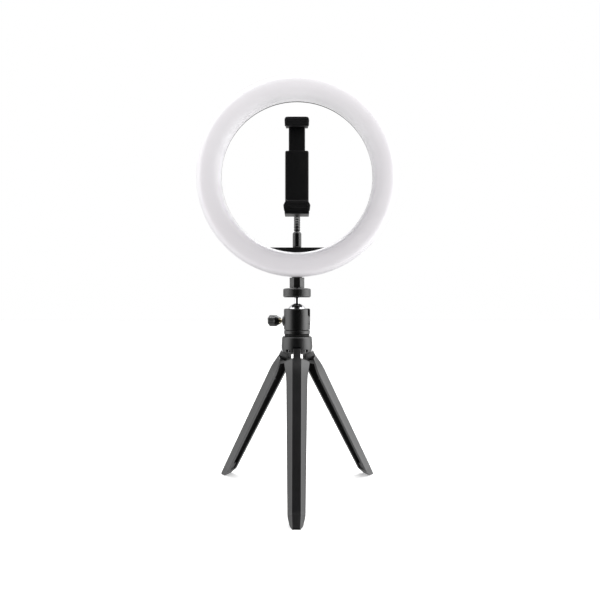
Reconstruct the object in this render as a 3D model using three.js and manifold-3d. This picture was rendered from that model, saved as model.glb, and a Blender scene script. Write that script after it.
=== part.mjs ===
// A small ring light on a folding mini tripod, with a ball head and a gooseneck phone holder.
// Millimetres, +Z up, the ring faces -Y. Heights are above the floor and the tripod's axis is x = y = 0
// until the last lines, which move the origin to the middle of the object's footprint.
import * as THREE from 'three';
import { mergeVertices } from 'three/addons/utils/BufferGeometryUtils.js';
import Module from 'manifold-3d';

const wasm = await Module();
wasm.setup();

// ---- driving dimensions -------------------------------------------------------------------------

const gap = 0.3; // running gap between neighbouring pieces
const ringSides = 48; // facets round each ring-shaped piece of the lamp
const turnSides = 24; // facets round each turned piece of the stand
const rad = THREE.MathUtils.degToRad;

const ring = {
  centre: 311.3, outer: 99.9, hole: 75.4, seam: -1, dome: 12.3, skirt: 2.6, back: 10.5, wall: 1.8, bow: 2.3,
};
const board = { inner: 80, outer: 95.2, front: -0.6, thick: 1.6, leds: 24, ledSize: 2.8, ledHeight: 0.8 };
const pillar = { count: 6, radius: 2.5, circle: 87.6, end: 8.2, firstAngle: 0 };
const web = { top: 241.4, front: 1.4, reach: 81.6 };
const neck = { flats: 14.6, bottom: 200.7, top: 210.9, tenonWidth: 10, tenonDepth: 4.4, tenonTop: 223 };
const gland = { angle: 254, radius: 3.4, hole: 1.7, stand: 4 };

const sleeve = { radius: 4.45, top: 257.8, stud: 2.4, studDepth: 9 };
const goose = { radius: 3.2, lean: 40, lowBend: 18, highBend: 14, pieces: 6, gap: 0.55 };
const ballJoint = { y: 0.5, radius: 5, stud: 2, ferrule: 3.9, ferruleLength: 6 };
const clamp = {
  width: 23, front: -15.2, back: -6.2, bottom: -40.1, floor: -32.9, top: 23.1, room: 77.2, pad: 1.4,
};
const jaw = {
  width: 24, lip: 2.3, lipFront: -26, lowLip: 12.9, highLip: 9, roof: 5.2, narrow: 21.2, wide: 25.9,
};
const bar = { width: 16, front: -13.7, back: -7.7, length: 50, bore: 2.2 };

const ball = { centre: 175.4, radius: 10, stem: 2.6, stemTop: 195.8 };
const disc = { bottom: 191.2, top: 200, radius: 13.8, teeth: 32, tooth: 0.5, padRadius: 12.2, padDepth: 1.2 };
const mountScrew = { radius: 3.1, bottom: 196.1, top: 207.5 };
const head = { turn: -20, radius: 13.1, bottom: 158.9, top: 180, socket: 10.15, notch: 3.5, flange: 161.7 };
const seat = { bottom: 163.9, top: 171.4, radius: 9.8 };
const lock = {
  height: 167.6, boss: 5.3, bossReach: 14.2, screw: 1.8, knobStart: 17.7, knobEnd: 30, knob: 5.7, grip: 8,
};
const grub = { height: 165.6, radius: 1.5, inner: 8.7, outer: 12.6 };
const base = {
  bottom: 154.7, top: 158.3, radius: 13, spigot: 6, spigotTop: 163.8, groove: 162, grooveTop: 163.1,
};

const crown = {
  bottom: 135.6, top: 152.3, topRadius: 14.6, radius: 15.5, rim: 13.2, slot: 7.8, slotDepth: 6.3,
};
const washer = { bottom: 152.6, top: 154.4, radius: 12.4 };
const hinge = { radius: 12, height: 138.6, pin: 1.4, halfLength: 8.4 };
const leg = {
  open: 28.5, outer: 4, swell: 2, tongue: 7, knuckle: 3.9, shoulder: 8.5, end: 148.5, wall: 3.6, floor: 1.8,
  pockets: 6, rib: 1.6, ribDrop: 4.5, rootTop: 5.2, root: 7.6,
};
const foot = { tenon: 7, tip: 161, sole: 5.8, toe: 0.8 };
const azimuths = { front: -90, right: 30, left: 150 };

// ---- solids -------------------------------------------------------------------------------------

// A closed three.js geometry as a manifold-3d solid, turned right side out if its profile ran backwards.
function solid(geometry) {
  geometry.deleteAttribute('normal');
  geometry.deleteAttribute('uv');
  const merged = mergeVertices(geometry, 1e-4);
  const corners = merged.index.array;
  const triangles = [];
  for (let i = 0; i < corners.length; i += 3) {
    const [a, b, c] = corners.slice(i, i + 3);
    if (a !== b && b !== c && c !== a) triangles.push(a, b, c);
  }
  const build = () => new wasm.Manifold(new wasm.Mesh({
    numProp: 3,
    vertProperties: merged.attributes.position.array,
    triVerts: new Uint32Array(triangles),
  }));
  const made = build();
  if (made.volume() > 0) return made;
  for (let i = 0; i < triangles.length; i += 3) {
    [triangles[i + 1], triangles[i + 2]] = [triangles[i + 2], triangles[i + 1]];
  }
  return build();
}

function toGeometry(made) {
  const mesh = made.getMesh();
  const geometry = new THREE.BufferGeometry();
  geometry.setAttribute('position', new THREE.BufferAttribute(mesh.vertProperties, 3));
  geometry.setIndex(new THREE.BufferAttribute(mesh.triVerts, 1));
  geometry.computeVertexNormals();
  return geometry;
}

// A box from its two corners.
function box(low, high) {
  const size = high.map((v, i) => v - low[i]);
  const geometry = new THREE.BoxGeometry(...size);
  return solid(geometry.translate(...high.map((v, i) => (v + low[i]) / 2)));
}

// A profile of [radius, height] points turned about Z.
function turnedZ(points, segments = 32) {
  const profile = points.map(([r, z]) => new THREE.Vector2(r, z));
  return solid(new THREE.LatheGeometry(profile, segments).rotateX(Math.PI / 2));
}

// The same about Y: [radius, y] points.
function turnedY(points, segments = 32) {
  const profile = points.map(([r, y]) => new THREE.Vector2(r, y));
  return solid(new THREE.LatheGeometry(profile, segments));
}

// Round rods along each axis, given a centre line and its two ends.
function rodZ(radius, low, high, segments = 24, at = [0, 0]) {
  const geometry = new THREE.CylinderGeometry(radius, radius, high - low, segments).rotateX(Math.PI / 2);
  return solid(geometry.translate(at[0], at[1], (low + high) / 2));
}

function rodY(radius, low, high, segments = 24, at = [0, 0]) {
  const geometry = new THREE.CylinderGeometry(radius, radius, high - low, segments);
  return solid(geometry.translate(at[0], (low + high) / 2, at[1]));
}

function rodX(radius, low, high, segments = 24, at = [0, 0]) {
  const geometry = new THREE.CylinderGeometry(radius, radius, high - low, segments).rotateZ(Math.PI / 2);
  return solid(geometry.translate((low + high) / 2, at[0], at[1]));
}

// A ring about Z, such as a washer or a threaded bush.
function bushZ(inner, outer, low, high, segments = 24) {
  return turnedZ([[inner, low], [outer, low], [outer, high], [inner, high], [inner, low]], segments);
}

// An outline in X and Z, extruded from one y to another.
function plateY(shape, from, to) {
  const settings = { depth: to - from, bevelEnabled: false, curveSegments: 6 };
  const geometry = new THREE.ExtrudeGeometry(shape, settings);
  return solid(geometry.rotateX(Math.PI / 2).translate(0, to, 0));
}

// A tube of a round section along a curve.
function tube(curve, radius, sides, steps) {
  const section = new THREE.Shape().absarc(0, 0, radius, 0, 2 * Math.PI);
  return solid(new THREE.ExtrudeGeometry(section, {
    extrudePath: curve, steps, curveSegments: sides / 2, bevelEnabled: false,
  }));
}

const ballSolid = (radius, z, wide = 24, tall = 16) =>
  solid(new THREE.SphereGeometry(radius, wide, tall).rotateX(Math.PI / 2).translate(0, 0, z));

function piece(name, made, colour, roughness, metalness = 0) {
  const material = new THREE.MeshStandardMaterial({ color: colour, roughness, metalness });
  const mesh = new THREE.Mesh(toGeometry(made), material);
  mesh.name = name;
  return mesh;
}

const blackPlastic = (name, made) => piece(name, made, 0x17171a, 0.5);
const whitePlastic = (name, made) => piece(name, made, 0xe9e7ec, 0.4);
const rubber = (name, made) => piece(name, made, 0x101012, 0.85);
const blackMetal = (name, made) => piece(name, made, 0x1c1c1e, 0.35, 0.7);
const steel = (name, made) => piece(name, made, 0xb9babd, 0.3, 1);
const brass = (name, made) => piece(name, made, 0xb49a5a, 0.35, 1);

// ---- ring head ----------------------------------------------------------------------------------

const ringMiddle = (ring.outer + ring.hole) / 2;
const ringHalf = (ring.outer - ring.hole) / 2;
const atRing = (radius, degrees) => [radius * Math.cos(rad(degrees)), radius * Math.sin(rad(degrees))];
const pillarStep = 360 / pillar.count;
const pillarAngles = Array.from({ length: pillar.count }, (_, i) => pillar.firstAngle + i * pillarStep);

// Points of the crowned front: from the outer seam up a straight skirt, over the dome, to the inner seam.
function domePoints(half, height, steps) {
  const points = [[ringMiddle + half, ring.seam]];
  for (let i = 0; i <= steps; i++) {
    const turn = (Math.PI * i) / steps;
    const across = Math.sign(Math.cos(turn)) * Math.abs(Math.cos(turn)) ** (2 / ring.bow);
    const rise = ring.skirt + (height - ring.skirt) * Math.sin(turn) ** (2 / ring.bow);
    points.push([ringMiddle + half * across, ring.seam - rise]);
  }
  return [...points, [ringMiddle - half, ring.seam]];
}

function frontDiffuser() {
  const outside = domePoints(ringHalf - 0.1, ring.dome, 8);
  const inside = domePoints(ringHalf - 0.1 - ring.wall, ring.dome - ring.wall, 4).reverse();
  let made = turnedY([...outside, ...inside, outside[0]], ringSides);
  for (const angle of pillarAngles) {
    const at = atRing(pillar.circle, angle);
    const post = rodY(pillar.radius, -ring.dome, pillar.end, 8, at);
    made = made.add(post).subtract(rodY(1.6, 1.5, pillar.end + 1, 6, at));
  }
  return whitePlastic('front_diffuser', made);
}

// The rear tray's section: a lip inside the diffuser, bowed side walls and a flat back.
function trayPoints() {
  const lip = ringHalf - 0.1 - ring.wall - gap;
  const front = ring.seam - 2.2;
  const start = ring.seam + gap;
  const outline = new THREE.Path();
  outline.moveTo(ringMiddle + lip, front);
  outline.lineTo(ringMiddle + lip, start);
  outline.lineTo(ring.outer - 0.3, start);
  outline.quadraticCurveTo(ring.outer - 1, ring.back, ring.outer - 7.5, ring.back);
  outline.lineTo(ring.hole + 7.5, ring.back);
  outline.quadraticCurveTo(ring.hole + 1.6, ring.back - 1.5, ring.hole, start);
  outline.lineTo(ringMiddle - lip, start);
  outline.lineTo(ringMiddle - lip, front);
  outline.lineTo(ringMiddle - lip + 1.3, front);
  outline.lineTo(ringMiddle - lip + 1.3, start + 1.5);
  outline.quadraticCurveTo(ring.hole + 4.2, ring.back - 2.6, ring.hole + 8.6, ring.back - 2);
  outline.lineTo(ring.outer - 8.6, ring.back - 2);
  outline.quadraticCurveTo(ring.outer - 3.4, ring.back - 2.4, ringMiddle + lip - 1.3, start + 1.5);
  outline.lineTo(ringMiddle + lip - 1.3, front);
  outline.closePath();
  return outline.getPoints(2).map((p) => [p.x, p.y]);
}

function webShape() {
  const level = web.top - ring.centre;
  const end = Math.asin(level / web.reach);
  const shape = new THREE.Shape();
  shape.absarc(0, 0, web.reach, end, Math.PI - end, true);
  shape.closePath();
  return shape;
}

function rearHousing() {
  let made = turnedY(trayPoints(), ringSides).add(plateY(webShape(), web.front, ring.back));
  const tenonY = neckTenon();
  const boss = box([-8, web.front, -98.2], [8, ring.back, -84]);
  made = made.add(boss);
  made = made.subtract(box(
    [-neck.tenonWidth / 2 - gap, tenonY[0] - gap, -110],
    [neck.tenonWidth / 2 + gap, tenonY[1] + gap, neck.tenonTop - ring.centre + gap],
  ));
  const holderZ = web.top - ring.centre;
  made = made.subtract(rodZ(3.9, holderZ - sleeve.studDepth - 1, holderZ + 1, 20, [0, holderY]));
  for (const angle of pillarAngles) {
    const at = atRing(pillar.circle, angle);
    made = made.subtract(rodY(1.8, 5, 12, 8, at)).subtract(rodY(3.3, ring.back - 1.1, 12, 12, at));
  }
  for (const x of [-3, 3]) {
    made = made.subtract(rodY(1.4, 2, 12, 8, [x, neckScrewZ]))
      .subtract(rodY(2.5, ring.back - 1, 12, 12, [x, neckScrewZ]));
  }
  made = made.subtract(rodY(gland.radius - 0.6 + gap, 4, 12, 16, atRing(pillar.circle, gland.angle)));
  return blackPlastic('rear_housing', made);
}

const holderY = (web.front + ring.back) / 2;
const neckScrewZ = neck.tenonTop - ring.centre - 5;
const neckTenon = () => [2.6, 2.6 + neck.tenonDepth];

function ledBoard() {
  const { inner, outer, front, thick } = board;
  const back = front + thick;
  const section = [[inner, front], [outer, front], [outer, back], [inner, back], [inner, front]];
  let made = turnedY(section, ringSides);
  for (const angle of pillarAngles) {
    made = made.subtract(rodY(pillar.radius + gap, front - 1, back + 1, 10, atRing(pillar.circle, angle)));
  }
  const step = 360 / board.leds;
  for (let i = 0; i < board.leds; i++) {
    const angle = step * (i + 0.5);
    const half = board.ledSize / 2;
    const led = box(
      [pillar.circle - half, front - board.ledHeight, -half], [pillar.circle + half, front + 0.5, half],
    );
    made = made.add(led.rotate([0, -angle, 0]));
  }
  return whitePlastic('led_board', made);
}

function cableGland() {
  const { radius, hole, stand } = gland;
  const collar = radius - 0.6;
  const inside = ring.back - 2 - gap;
  const made = turnedY([
    [hole, inside], [collar, inside], [collar, ring.back + gap], [radius, ring.back + gap],
    [radius, ring.back + 1.6], [collar - 0.4, ring.back + stand], [hole, ring.back + stand], [hole, inside],
  ], 20);
  return rubber('cable_gland', made);
}

// The lead from the gland's inner end to the back of the board.
function leadWire() {
  const boardBack = board.front + board.thick + gap;
  const route = new THREE.CatmullRomCurve3([
    new THREE.Vector3(0, ring.back - 2.8, 0),
    new THREE.Vector3(0.6, ring.back - 4.2, 1.2),
    new THREE.Vector3(3.5, ring.back - 5.2, 2.6),
    new THREE.Vector3(6.4, ring.back - 6.6, 3.2),
    new THREE.Vector3(7, boardBack, 3.2),
  ]);
  return piece('lead_wire', tube(route, 0.9, 8, 10), 0x8a1d1d, 0.6);
}

function screwY(name, shankRadius, headRadius, headTop, headHeight, length) {
  const made = rodY(headRadius, headTop - headHeight, headTop, 12)
    .add(rodY(shankRadius, headTop - headHeight - length, headTop - headHeight + 0.1, 6));
  return steel(name, made);
}

function housingScrews() {
  return pillarAngles.map((angle, i) => {
    const screw = screwY(`housing_screw_${i + 1}`, 1.2, 2.8, ring.back - 0.1, 0.65, 6);
    const [x, z] = atRing(pillar.circle, angle);
    screw.position.set(x, 0, z);
    return screw;
  });
}

function neckPieces() {
  const apothem = neck.flats / 2;
  const corner = apothem / Math.cos(Math.PI / 8);
  const prism = new THREE.CylinderGeometry(corner, corner, neck.top - neck.bottom, 8)
    .rotateY(Math.PI / 8).rotateX(Math.PI / 2).translate(0, 0, (neck.top + neck.bottom) / 2);
  const [near, far] = neckTenon();
  const tenonHalf = neck.tenonWidth / 2;
  let made = solid(prism).add(box([-tenonHalf, near, neck.top - 1], [tenonHalf, far, neck.tenonTop]));
  made = made.subtract(rodZ(4.6, neck.bottom - 1, mountScrew.top + 1.2, 20));
  for (const x of [-3, 3]) {
    made = made.subtract(rodY(1.2, 2, 12, 10, [x, neckScrewZ + ring.centre]));
  }
  const bush = bushZ(mountScrew.radius + gap, 4.6 - gap, neck.bottom + 0.2, mountScrew.top + 0.8, 20);
  const screws = [-3, 3].map((x, i) => {
    const screw = screwY(`neck_screw_${i + 1}`, 0.9, 2.1, ring.back - 0.1, 0.6, 6.8);
    screw.position.set(x, 0, neckScrewZ + ring.centre);
    return screw;
  });
  return [blackPlastic('neck', made), brass('neck_insert', bush), ...screws];
}

function holderInsert() {
  const top = web.top - ring.centre - 0.2;
  const bush = bushZ(sleeve.stud + gap, 3.9 - gap, top - sleeve.studDepth, top, 18);
  return brass('holder_insert', bush.translate([0, holderY, 0]));
}

function ringHead() {
  const shells = new THREE.Group();
  shells.position.z = ring.centre;
  const [x, z] = atRing(pillar.circle, gland.angle);
  const inlet = cableGland();
  inlet.position.set(x, 0, z);
  const lead = leadWire();
  lead.position.set(x, 0, z);
  shells.add(frontDiffuser(), rearHousing(), ledBoard(), inlet, lead, holderInsert(), ...housingScrews());
  const group = new THREE.Group();
  group.add(shells, ...neckPieces());
  return group;
}

// ---- phone holder -------------------------------------------------------------------------------

// The gooseneck's centre line in the YZ plane: up and back, straight, then over to the front.
// It leaves the sleeve straight up and reaches the ferrule heading straight forward.
const lean = rad(goose.lean);
const ferruleEnd = ballJoint.y + 14.5;
const bendReach = goose.lowBend * (1 - Math.cos(lean)) - goose.highBend * Math.cos(lean);
const straight = (ferruleEnd - holderY - bendReach) / Math.sin(lean);
const bendLengths = [goose.lowBend * lean, straight, goose.highBend * (lean + Math.PI / 2)];
const gooseLength = bendLengths[0] + bendLengths[1] + bendLengths[2];

function goosePoint(along) {
  const first = Math.min(along, bendLengths[0]) / goose.lowBend;
  const middle = Math.min(Math.max(along - bendLengths[0], 0), bendLengths[1]);
  const last = Math.max(along - bendLengths[0] - bendLengths[1], 0) / goose.highBend;
  const y = goose.lowBend * (1 - Math.cos(first)) + middle * Math.sin(lean)
    + goose.highBend * (Math.cos(lean - last) - Math.cos(lean));
  const z = goose.lowBend * Math.sin(first) + middle * Math.cos(lean)
    + goose.highBend * (Math.sin(lean) - Math.sin(lean - last));
  return new THREE.Vector3(0, holderY + y, sleeve.top + z);
}

const jointHeight = goosePoint(gooseLength).z;

// Each length is drawn about the hinge at its lower end, which its mesh is placed at.
function gooseneckLengths() {
  const step = gooseLength / goose.pieces;
  return Array.from({ length: goose.pieces }, (_, i) => {
    const hingeAt = goosePoint(i * step);
    const from = i * step + goose.gap / 2;
    const to = (i + 1) * step - goose.gap / 2;
    const line = new THREE.Curve();
    line.getPoint = (t) => goosePoint(from + (to - from) * t).sub(hingeAt);
    const length = blackMetal(`gooseneck_${i + 1}`, tube(line, goose.radius, 10, 5));
    length.position.copy(hingeAt);
    return length;
  });
}

function holderSleeve() {
  const { radius, top, stud, studDepth } = sleeve;
  const foot = web.top + gap;
  const made = turnedZ([
    [0, foot - studDepth], [stud, foot - studDepth], [stud, foot], [radius - 0.4, foot], [radius, foot + 0.4],
    [radius, top - goose.gap - 1.4], [radius - 1.2, top - goose.gap / 2], [0, top - goose.gap / 2],
  ], 16);
  return blackMetal('holder_sleeve', made.translate([0, holderY, 0]));
}

// From here to the jaws, y and z are counted from the centre of the holder's ball joint.
function ballStud() {
  const { radius, stud, ferrule, ferruleLength } = ballJoint;
  const end = ferruleEnd - ballJoint.y;
  const made = turnedY([
    ...arcPoints(radius, 0, -90, 66, 8), [stud, radius + 1], [stud, end - ferruleLength],
    [ferrule, end - ferruleLength + 0.8], [ferrule, end - goose.gap / 2], [0, end - goose.gap / 2],
  ], 16);
  return steel('ball_stud', made);
}

// Points of an arc of a circle centred on the axis, from one angle above the equator to another.
function arcPoints(radius, centre, fromDegrees, toDegrees, steps) {
  return Array.from({ length: steps + 1 }, (_, i) => {
    const turn = rad(fromDegrees + ((toDegrees - fromDegrees) * i) / steps);
    const across = Math.abs(fromDegrees) === 90 && i === 0 ? 0 : radius * Math.cos(turn);
    return [across, centre + radius * Math.sin(turn)];
  });
}

function clampNut() {
  const hollow = ballJoint.radius + 0.25;
  const rim = 44;
  const inner = arcPoints(hollow, 0, rim, 22, 2);
  const made = turnedY([
    [7.9, -4.6], [9.4, -4.6], [9.4, 2.6], [8, 4.9], [hollow * Math.cos(rad(rim)) + 0.9, 4.9],
    ...inner, [7.9, hollow * Math.sin(rad(22))], [7.9, -4.6],
  ], 20);
  return blackPlastic('clamp_nut', made);
}

function roundedPlate(width, bottom, top, corner, narrowTop = width) {
  const half = width / 2;
  const upper = narrowTop / 2;
  const shape = new THREE.Shape();
  shape.moveTo(-half + corner, bottom);
  shape.lineTo(half - corner, bottom);
  shape.quadraticCurveTo(half, bottom, half, bottom + corner);
  shape.lineTo(upper, top);
  shape.lineTo(-upper, top);
  shape.lineTo(-half, bottom + corner);
  shape.quadraticCurveTo(-half, bottom, -half + corner, bottom);
  return shape;
}

function clampBody() {
  const { width, front, back, bottom, floor, top } = clamp;
  const lipTop = bottom + jaw.lowLip;
  const lipShape = roundedPlate(jaw.wide, bottom, lipTop, 3.5, jaw.narrow);
  const lip = plateY(lipShape, jaw.lipFront, jaw.lipFront + jaw.lip);
  const socket = turnedY([
    [0, back - 0.1], [7.5, back - 0.1], [7.5, 1.2],
    ...arcPoints(ballJoint.radius + 0.25, 0, 14, -89, 6), [0, -5.25],
  ], 20);
  let made = box([-width / 2, front, bottom + 1], [width / 2, back, top])
    .add(box([-jaw.wide / 2 + 1.2, jaw.lipFront + 0.5, bottom], [jaw.wide / 2 - 1.2, back, floor]))
    .add(lip)
    .add(socket);
  const channel = bar.width / 2 + gap;
  made = made.subtract(box([-channel, bar.front - gap, floor + 4], [channel, bar.back + gap, top + 1]));
  made = made.subtract(rodX(1.1, -width, width, 10, [boreY, springPinZ]));
  return blackPlastic('clamp_body', made);
}

const boreY = (bar.front + bar.back) / 2;
const springPinZ = clamp.floor + 6;
const roofBottom = clamp.floor + clamp.pad + clamp.room + clamp.pad;

function slidingJaw() {
  const top = roofBottom + jaw.roof;
  const lipBottom = top - jaw.highLip;
  const half = bar.width / 2;
  const lip = plateY(roundedPlate(jaw.width, -top, -lipBottom, 3), jaw.lipFront, jaw.lipFront + jaw.lip)
    .rotate([0, 180, 0]);
  let made = lip
    .add(box([-jaw.width / 2 + 1, jaw.lipFront + 0.5, roofBottom], [jaw.width / 2 - 1, clamp.back, top]))
    .add(box([-half, bar.front, top - bar.length - jaw.roof], [half, bar.back, roofBottom + 0.5]));
  made = made.subtract(rodZ(bar.bore, top - bar.length - jaw.roof - 1, roofBottom - 8, 12, [0, boreY]));
  return blackPlastic('sliding_jaw', made);
}

function jawPads() {
  const width = jaw.width / 2 - 2;
  const front = jaw.lipFront + jaw.lip + gap;
  const lower = box([-width, front, clamp.floor + 0.05], [width, clamp.front - gap, clamp.floor + clamp.pad]);
  const upper = box([-width, front, roofBottom - clamp.pad], [width, clamp.front - gap, roofBottom - 0.05]);
  return [rubber('lower_jaw_pad', lower), rubber('upper_jaw_pad', upper)];
}

// An extension spring in the bar's bore, from the cross pin up to the bore's end.
function jawSpring() {
  const bottom = springPinZ + 1.6;
  const top = roofBottom - 8.6;
  const turns = 10;
  const perTurn = 6;
  const spots = Array.from({ length: turns * perTurn + 1 }, (_, i) => {
    const turn = (i / perTurn) * 2 * Math.PI;
    const height = bottom + ((top - bottom) * i) / (turns * perTurn);
    return new THREE.Vector3(1.5 * Math.cos(turn), boreY + 1.5 * Math.sin(turn), height);
  });
  return steel('jaw_spring', tube(new THREE.CatmullRomCurve3(spots), 0.35, 4, turns * perTurn));
}

function springPin() {
  const reach = clamp.width / 2 - 0.4;
  return steel('spring_pin', rodX(0.8, -reach, reach, 10, [boreY, springPinZ]));
}

function phoneHolder() {
  const clampGroup = new THREE.Group();
  clampGroup.position.set(0, ballJoint.y, jointHeight);
  clampGroup.add(ballStud(), clampNut(), clampBody(), slidingJaw(), ...jawPads(), jawSpring(), springPin());
  const group = new THREE.Group();
  group.add(holderSleeve(), ...gooseneckLengths(), clampGroup);
  return group;
}

// ---- ball head ----------------------------------------------------------------------------------

function ballStem() {
  const { centre, radius, stem, stemTop } = ball;
  const made = turnedZ([
    ...arcPoints(radius, centre, -90, 72, 13), [stem + 0.3, centre + radius], [stem, centre + radius + 1.2],
    [stem, stemTop], [0, stemTop],
  ], turnSides);
  return piece('ball_stem', made, 0xd8d9dc, 0.12, 1);
}

function knurledOutline(radius, teeth, depth) {
  const shape = new THREE.Shape();
  for (let i = 0; i < teeth; i++) {
    for (const [part, r] of [[0, radius], [0.5, radius - depth]]) {
      const turn = ((i + part) / teeth) * 2 * Math.PI;
      const [x, y] = [r * Math.cos(turn), r * Math.sin(turn)];
      if (i === 0 && part === 0) shape.moveTo(x, y);
      else shape.lineTo(x, y);
    }
  }
  return shape;
}

function platform() {
  const { bottom, top, radius, teeth, tooth, padRadius, padDepth } = disc;
  const rim = new THREE.ExtrudeGeometry(knurledOutline(radius, teeth, tooth), {
    depth: top - bottom - 1.6, bevelEnabled: false,
  });
  const plain = turnedZ([[0, bottom], [radius - 1.2, bottom], [radius - 0.4, bottom + 0.8],
    [radius - 0.4, top - 0.8], [radius - 1.2, top], [0, top]], turnSides);
  const made = solid(rim.translate(0, 0, bottom + 0.8)).add(plain)
    .subtract(rodZ(mountScrew.radius + gap, bottom - 1, top + 1, 20))
    .subtract(rodZ(padRadius, top - padDepth, top + 1, 24));
  const pad = bushZ(mountScrew.radius + gap, padRadius - gap, top - padDepth + 0.1, top + 0.2, 24);
  const screw = rodZ(mountScrew.radius - 0.1, mountScrew.bottom, mountScrew.top, 20);
  return [blackMetal('platform_disc', made), rubber('platform_pad', pad), steel('mount_screw', screw)];
}

function headHousing() {
  const { radius, bottom, top, socket, notch, flange } = head;
  const ceiling = Math.asin((top - ball.centre) / socket);
  const profile = [
    [base.spigot + gap, bottom], [radius - 0.4, bottom], [radius, bottom + 0.4], [radius, top - 0.8],
    [radius - 0.8, top], ...arcPoints(socket, ball.centre, THREE.MathUtils.radToDeg(ceiling), 0, 3),
    [socket, flange], [base.spigot + gap, flange], [base.spigot + gap, bottom],
  ];
  const boss = rodX(lock.boss, -lock.bossReach, -11, 20, [0, lock.height]);
  const chamber = rodZ(socket, flange, ball.centre, turnSides);
  const slot = rodX(notch, 5, 16, 20, [0, ball.centre])
    .add(box([5, -notch, ball.centre], [16, notch, top + 2]));
  const made = turnedZ(profile, turnSides).add(boss.subtract(chamber)).subtract(slot)
    .subtract(rodX(lock.screw + gap, -16, -8, 16, [0, lock.height]))
    .subtract(rodX(grub.radius + gap, 8, 16, 12, [0, grub.height]));
  return blackMetal('head_housing', made);
}

function ballSeat() {
  const cup = rodZ(seat.radius, seat.bottom, seat.top, 24)
    .subtract(ballSolid(ball.radius + 0.2, ball.centre));
  const made = cup
    .subtract(rodX(lock.screw + gap + 0.4, -12, -6.4, 12, [0, lock.height]))
    .subtract(rodX(grub.radius + gap, 7.6, 12, 12, [0, grub.height]));
  return whitePlastic('ball_seat', made);
}

function lockPieces() {
  const shank = rodX(lock.screw, -lock.knobStart - 4, -9.6, 14, [0, lock.height]);
  const tip = new THREE.CylinderGeometry(0.9, lock.screw, 1.9, 14)
    .rotateZ(-Math.PI / 2).translate(-8.7, 0, lock.height);
  const collar = rodX(2.7, -lock.knobStart + 0.1, -lock.knobStart + 1.3, 16, [0, lock.height]);
  const screw = brass('lock_screw', shank.add(solid(tip)).add(collar));
  const lobes = new THREE.Shape();
  const sides = 48;
  for (let i = 0; i < sides; i++) {
    const turn = (i / sides) * 2 * Math.PI;
    const r = lock.knob - 0.55 + 0.55 * Math.cos(6 * turn);
    if (i === 0) lobes.moveTo(r, 0);
    else lobes.lineTo(r * Math.cos(turn), r * Math.sin(turn));
  }
  const grip = new THREE.ExtrudeGeometry(lobes, { depth: lock.grip, bevelEnabled: false })
    .rotateY(-Math.PI / 2).translate(-lock.knobEnd + lock.grip, 0, lock.height);
  const hubEnd = lock.knobEnd - lock.grip + 0.4;
  const hub = new THREE.CylinderGeometry(3.4, 5, hubEnd - lock.knobStart, 20)
    .rotateZ(-Math.PI / 2).translate(-(hubEnd + lock.knobStart) / 2, 0, lock.height);
  const knob = solid(grip).add(solid(hub))
    .subtract(rodX(lock.screw + gap, -lock.knobStart - 4.5, -lock.knobStart + 1, 14, [0, lock.height]));
  return [screw, blackPlastic('lock_knob', knob)];
}

function grubScrew() {
  const made = rodX(grub.radius, grub.inner, grub.outer, 12, [0, grub.height])
    .subtract(rodX(0.7, grub.outer - 1.6, grub.outer + 1, 6, [0, grub.height]));
  return steel('grub_screw', made);
}

function headBase() {
  const { bottom, top, radius, spigot, spigotTop, groove, grooveTop } = base;
  const bore = 3.4;
  const made = turnedZ([
    [bore, bottom], [radius - 0.4, bottom], [radius, bottom + 0.4], [radius, top], [spigot, top],
    [spigot, groove], [spigot - 1, groove], [spigot - 1, grooveTop], [spigot, grooveTop], [spigot, spigotTop],
    [0, spigotTop], [0, spigotTop - 2.5], [bore, spigotTop - 2.5], [bore, bottom],
  ], turnSides);
  const middle = (groove + grooveTop) / 2;
  const clip = bushZ(spigot - 1 + gap / 2, 7.8, middle - 0.25, middle + 0.25, 20)
    .subtract(box([-1.5, 0, groove], [1.5, 10, grooveTop]));
  return [blackMetal('head_base', made), steel('retaining_ring', clip)];
}

function ballHead() {
  const turned = new THREE.Group();
  turned.rotation.z = rad(head.turn);
  turned.add(headHousing(), ballSeat(), ...lockPieces(), grubScrew());
  const group = new THREE.Group();
  group.add(turned, ballStem(), ...platform(), ...headBase());
  return group;
}

// ---- tripod -------------------------------------------------------------------------------------

function crownPieces() {
  const { bottom, top, topRadius, radius, rim, slot, slotDepth } = crown;
  let hub = turnedZ([
    [0, bottom], [rim, bottom], [rim + 1.5, bottom + 2], [radius - 0.1, bottom + 4.6], [radius, bottom + 7.4],
    [radius - 0.3, bottom + 11], [topRadius + 0.3, top - 1], [topRadius - 0.5, top], [0, top],
  ], turnSides);
  const ceiling = hinge.height + leg.knuckle + gap + 0.1;
  for (const degrees of Object.values(azimuths)) {
    const cut = box([slotDepth, -slot / 2, bottom - 1], [20, slot / 2, ceiling]);
    const pinHole = rodY(hinge.pin + gap, -12, 12, 14, [hinge.radius, hinge.height]);
    hub = hub.subtract(cut.add(pinHole).rotate([0, 0, degrees]));
  }
  hub = hub.subtract(rodZ(5.6, bottom - 1, bottom + 4.2, 24)).subtract(rodZ(3.3, bottom, top + 1, 20));
  const ring = bushZ(3.3, washer.radius, washer.bottom, washer.top, turnSides);
  const hexHead = new THREE.CylinderGeometry(5.1, 5.1, 3, 6)
    .rotateX(Math.PI / 2).translate(0, 0, bottom + 2.4);
  const bolt = solid(hexHead).add(rodZ(3, bottom + 3, base.spigotTop - 3, 20));
  return [blackPlastic('crown', hub), rubber('crown_washer', ring), steel('crown_bolt', bolt)];
}

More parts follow.
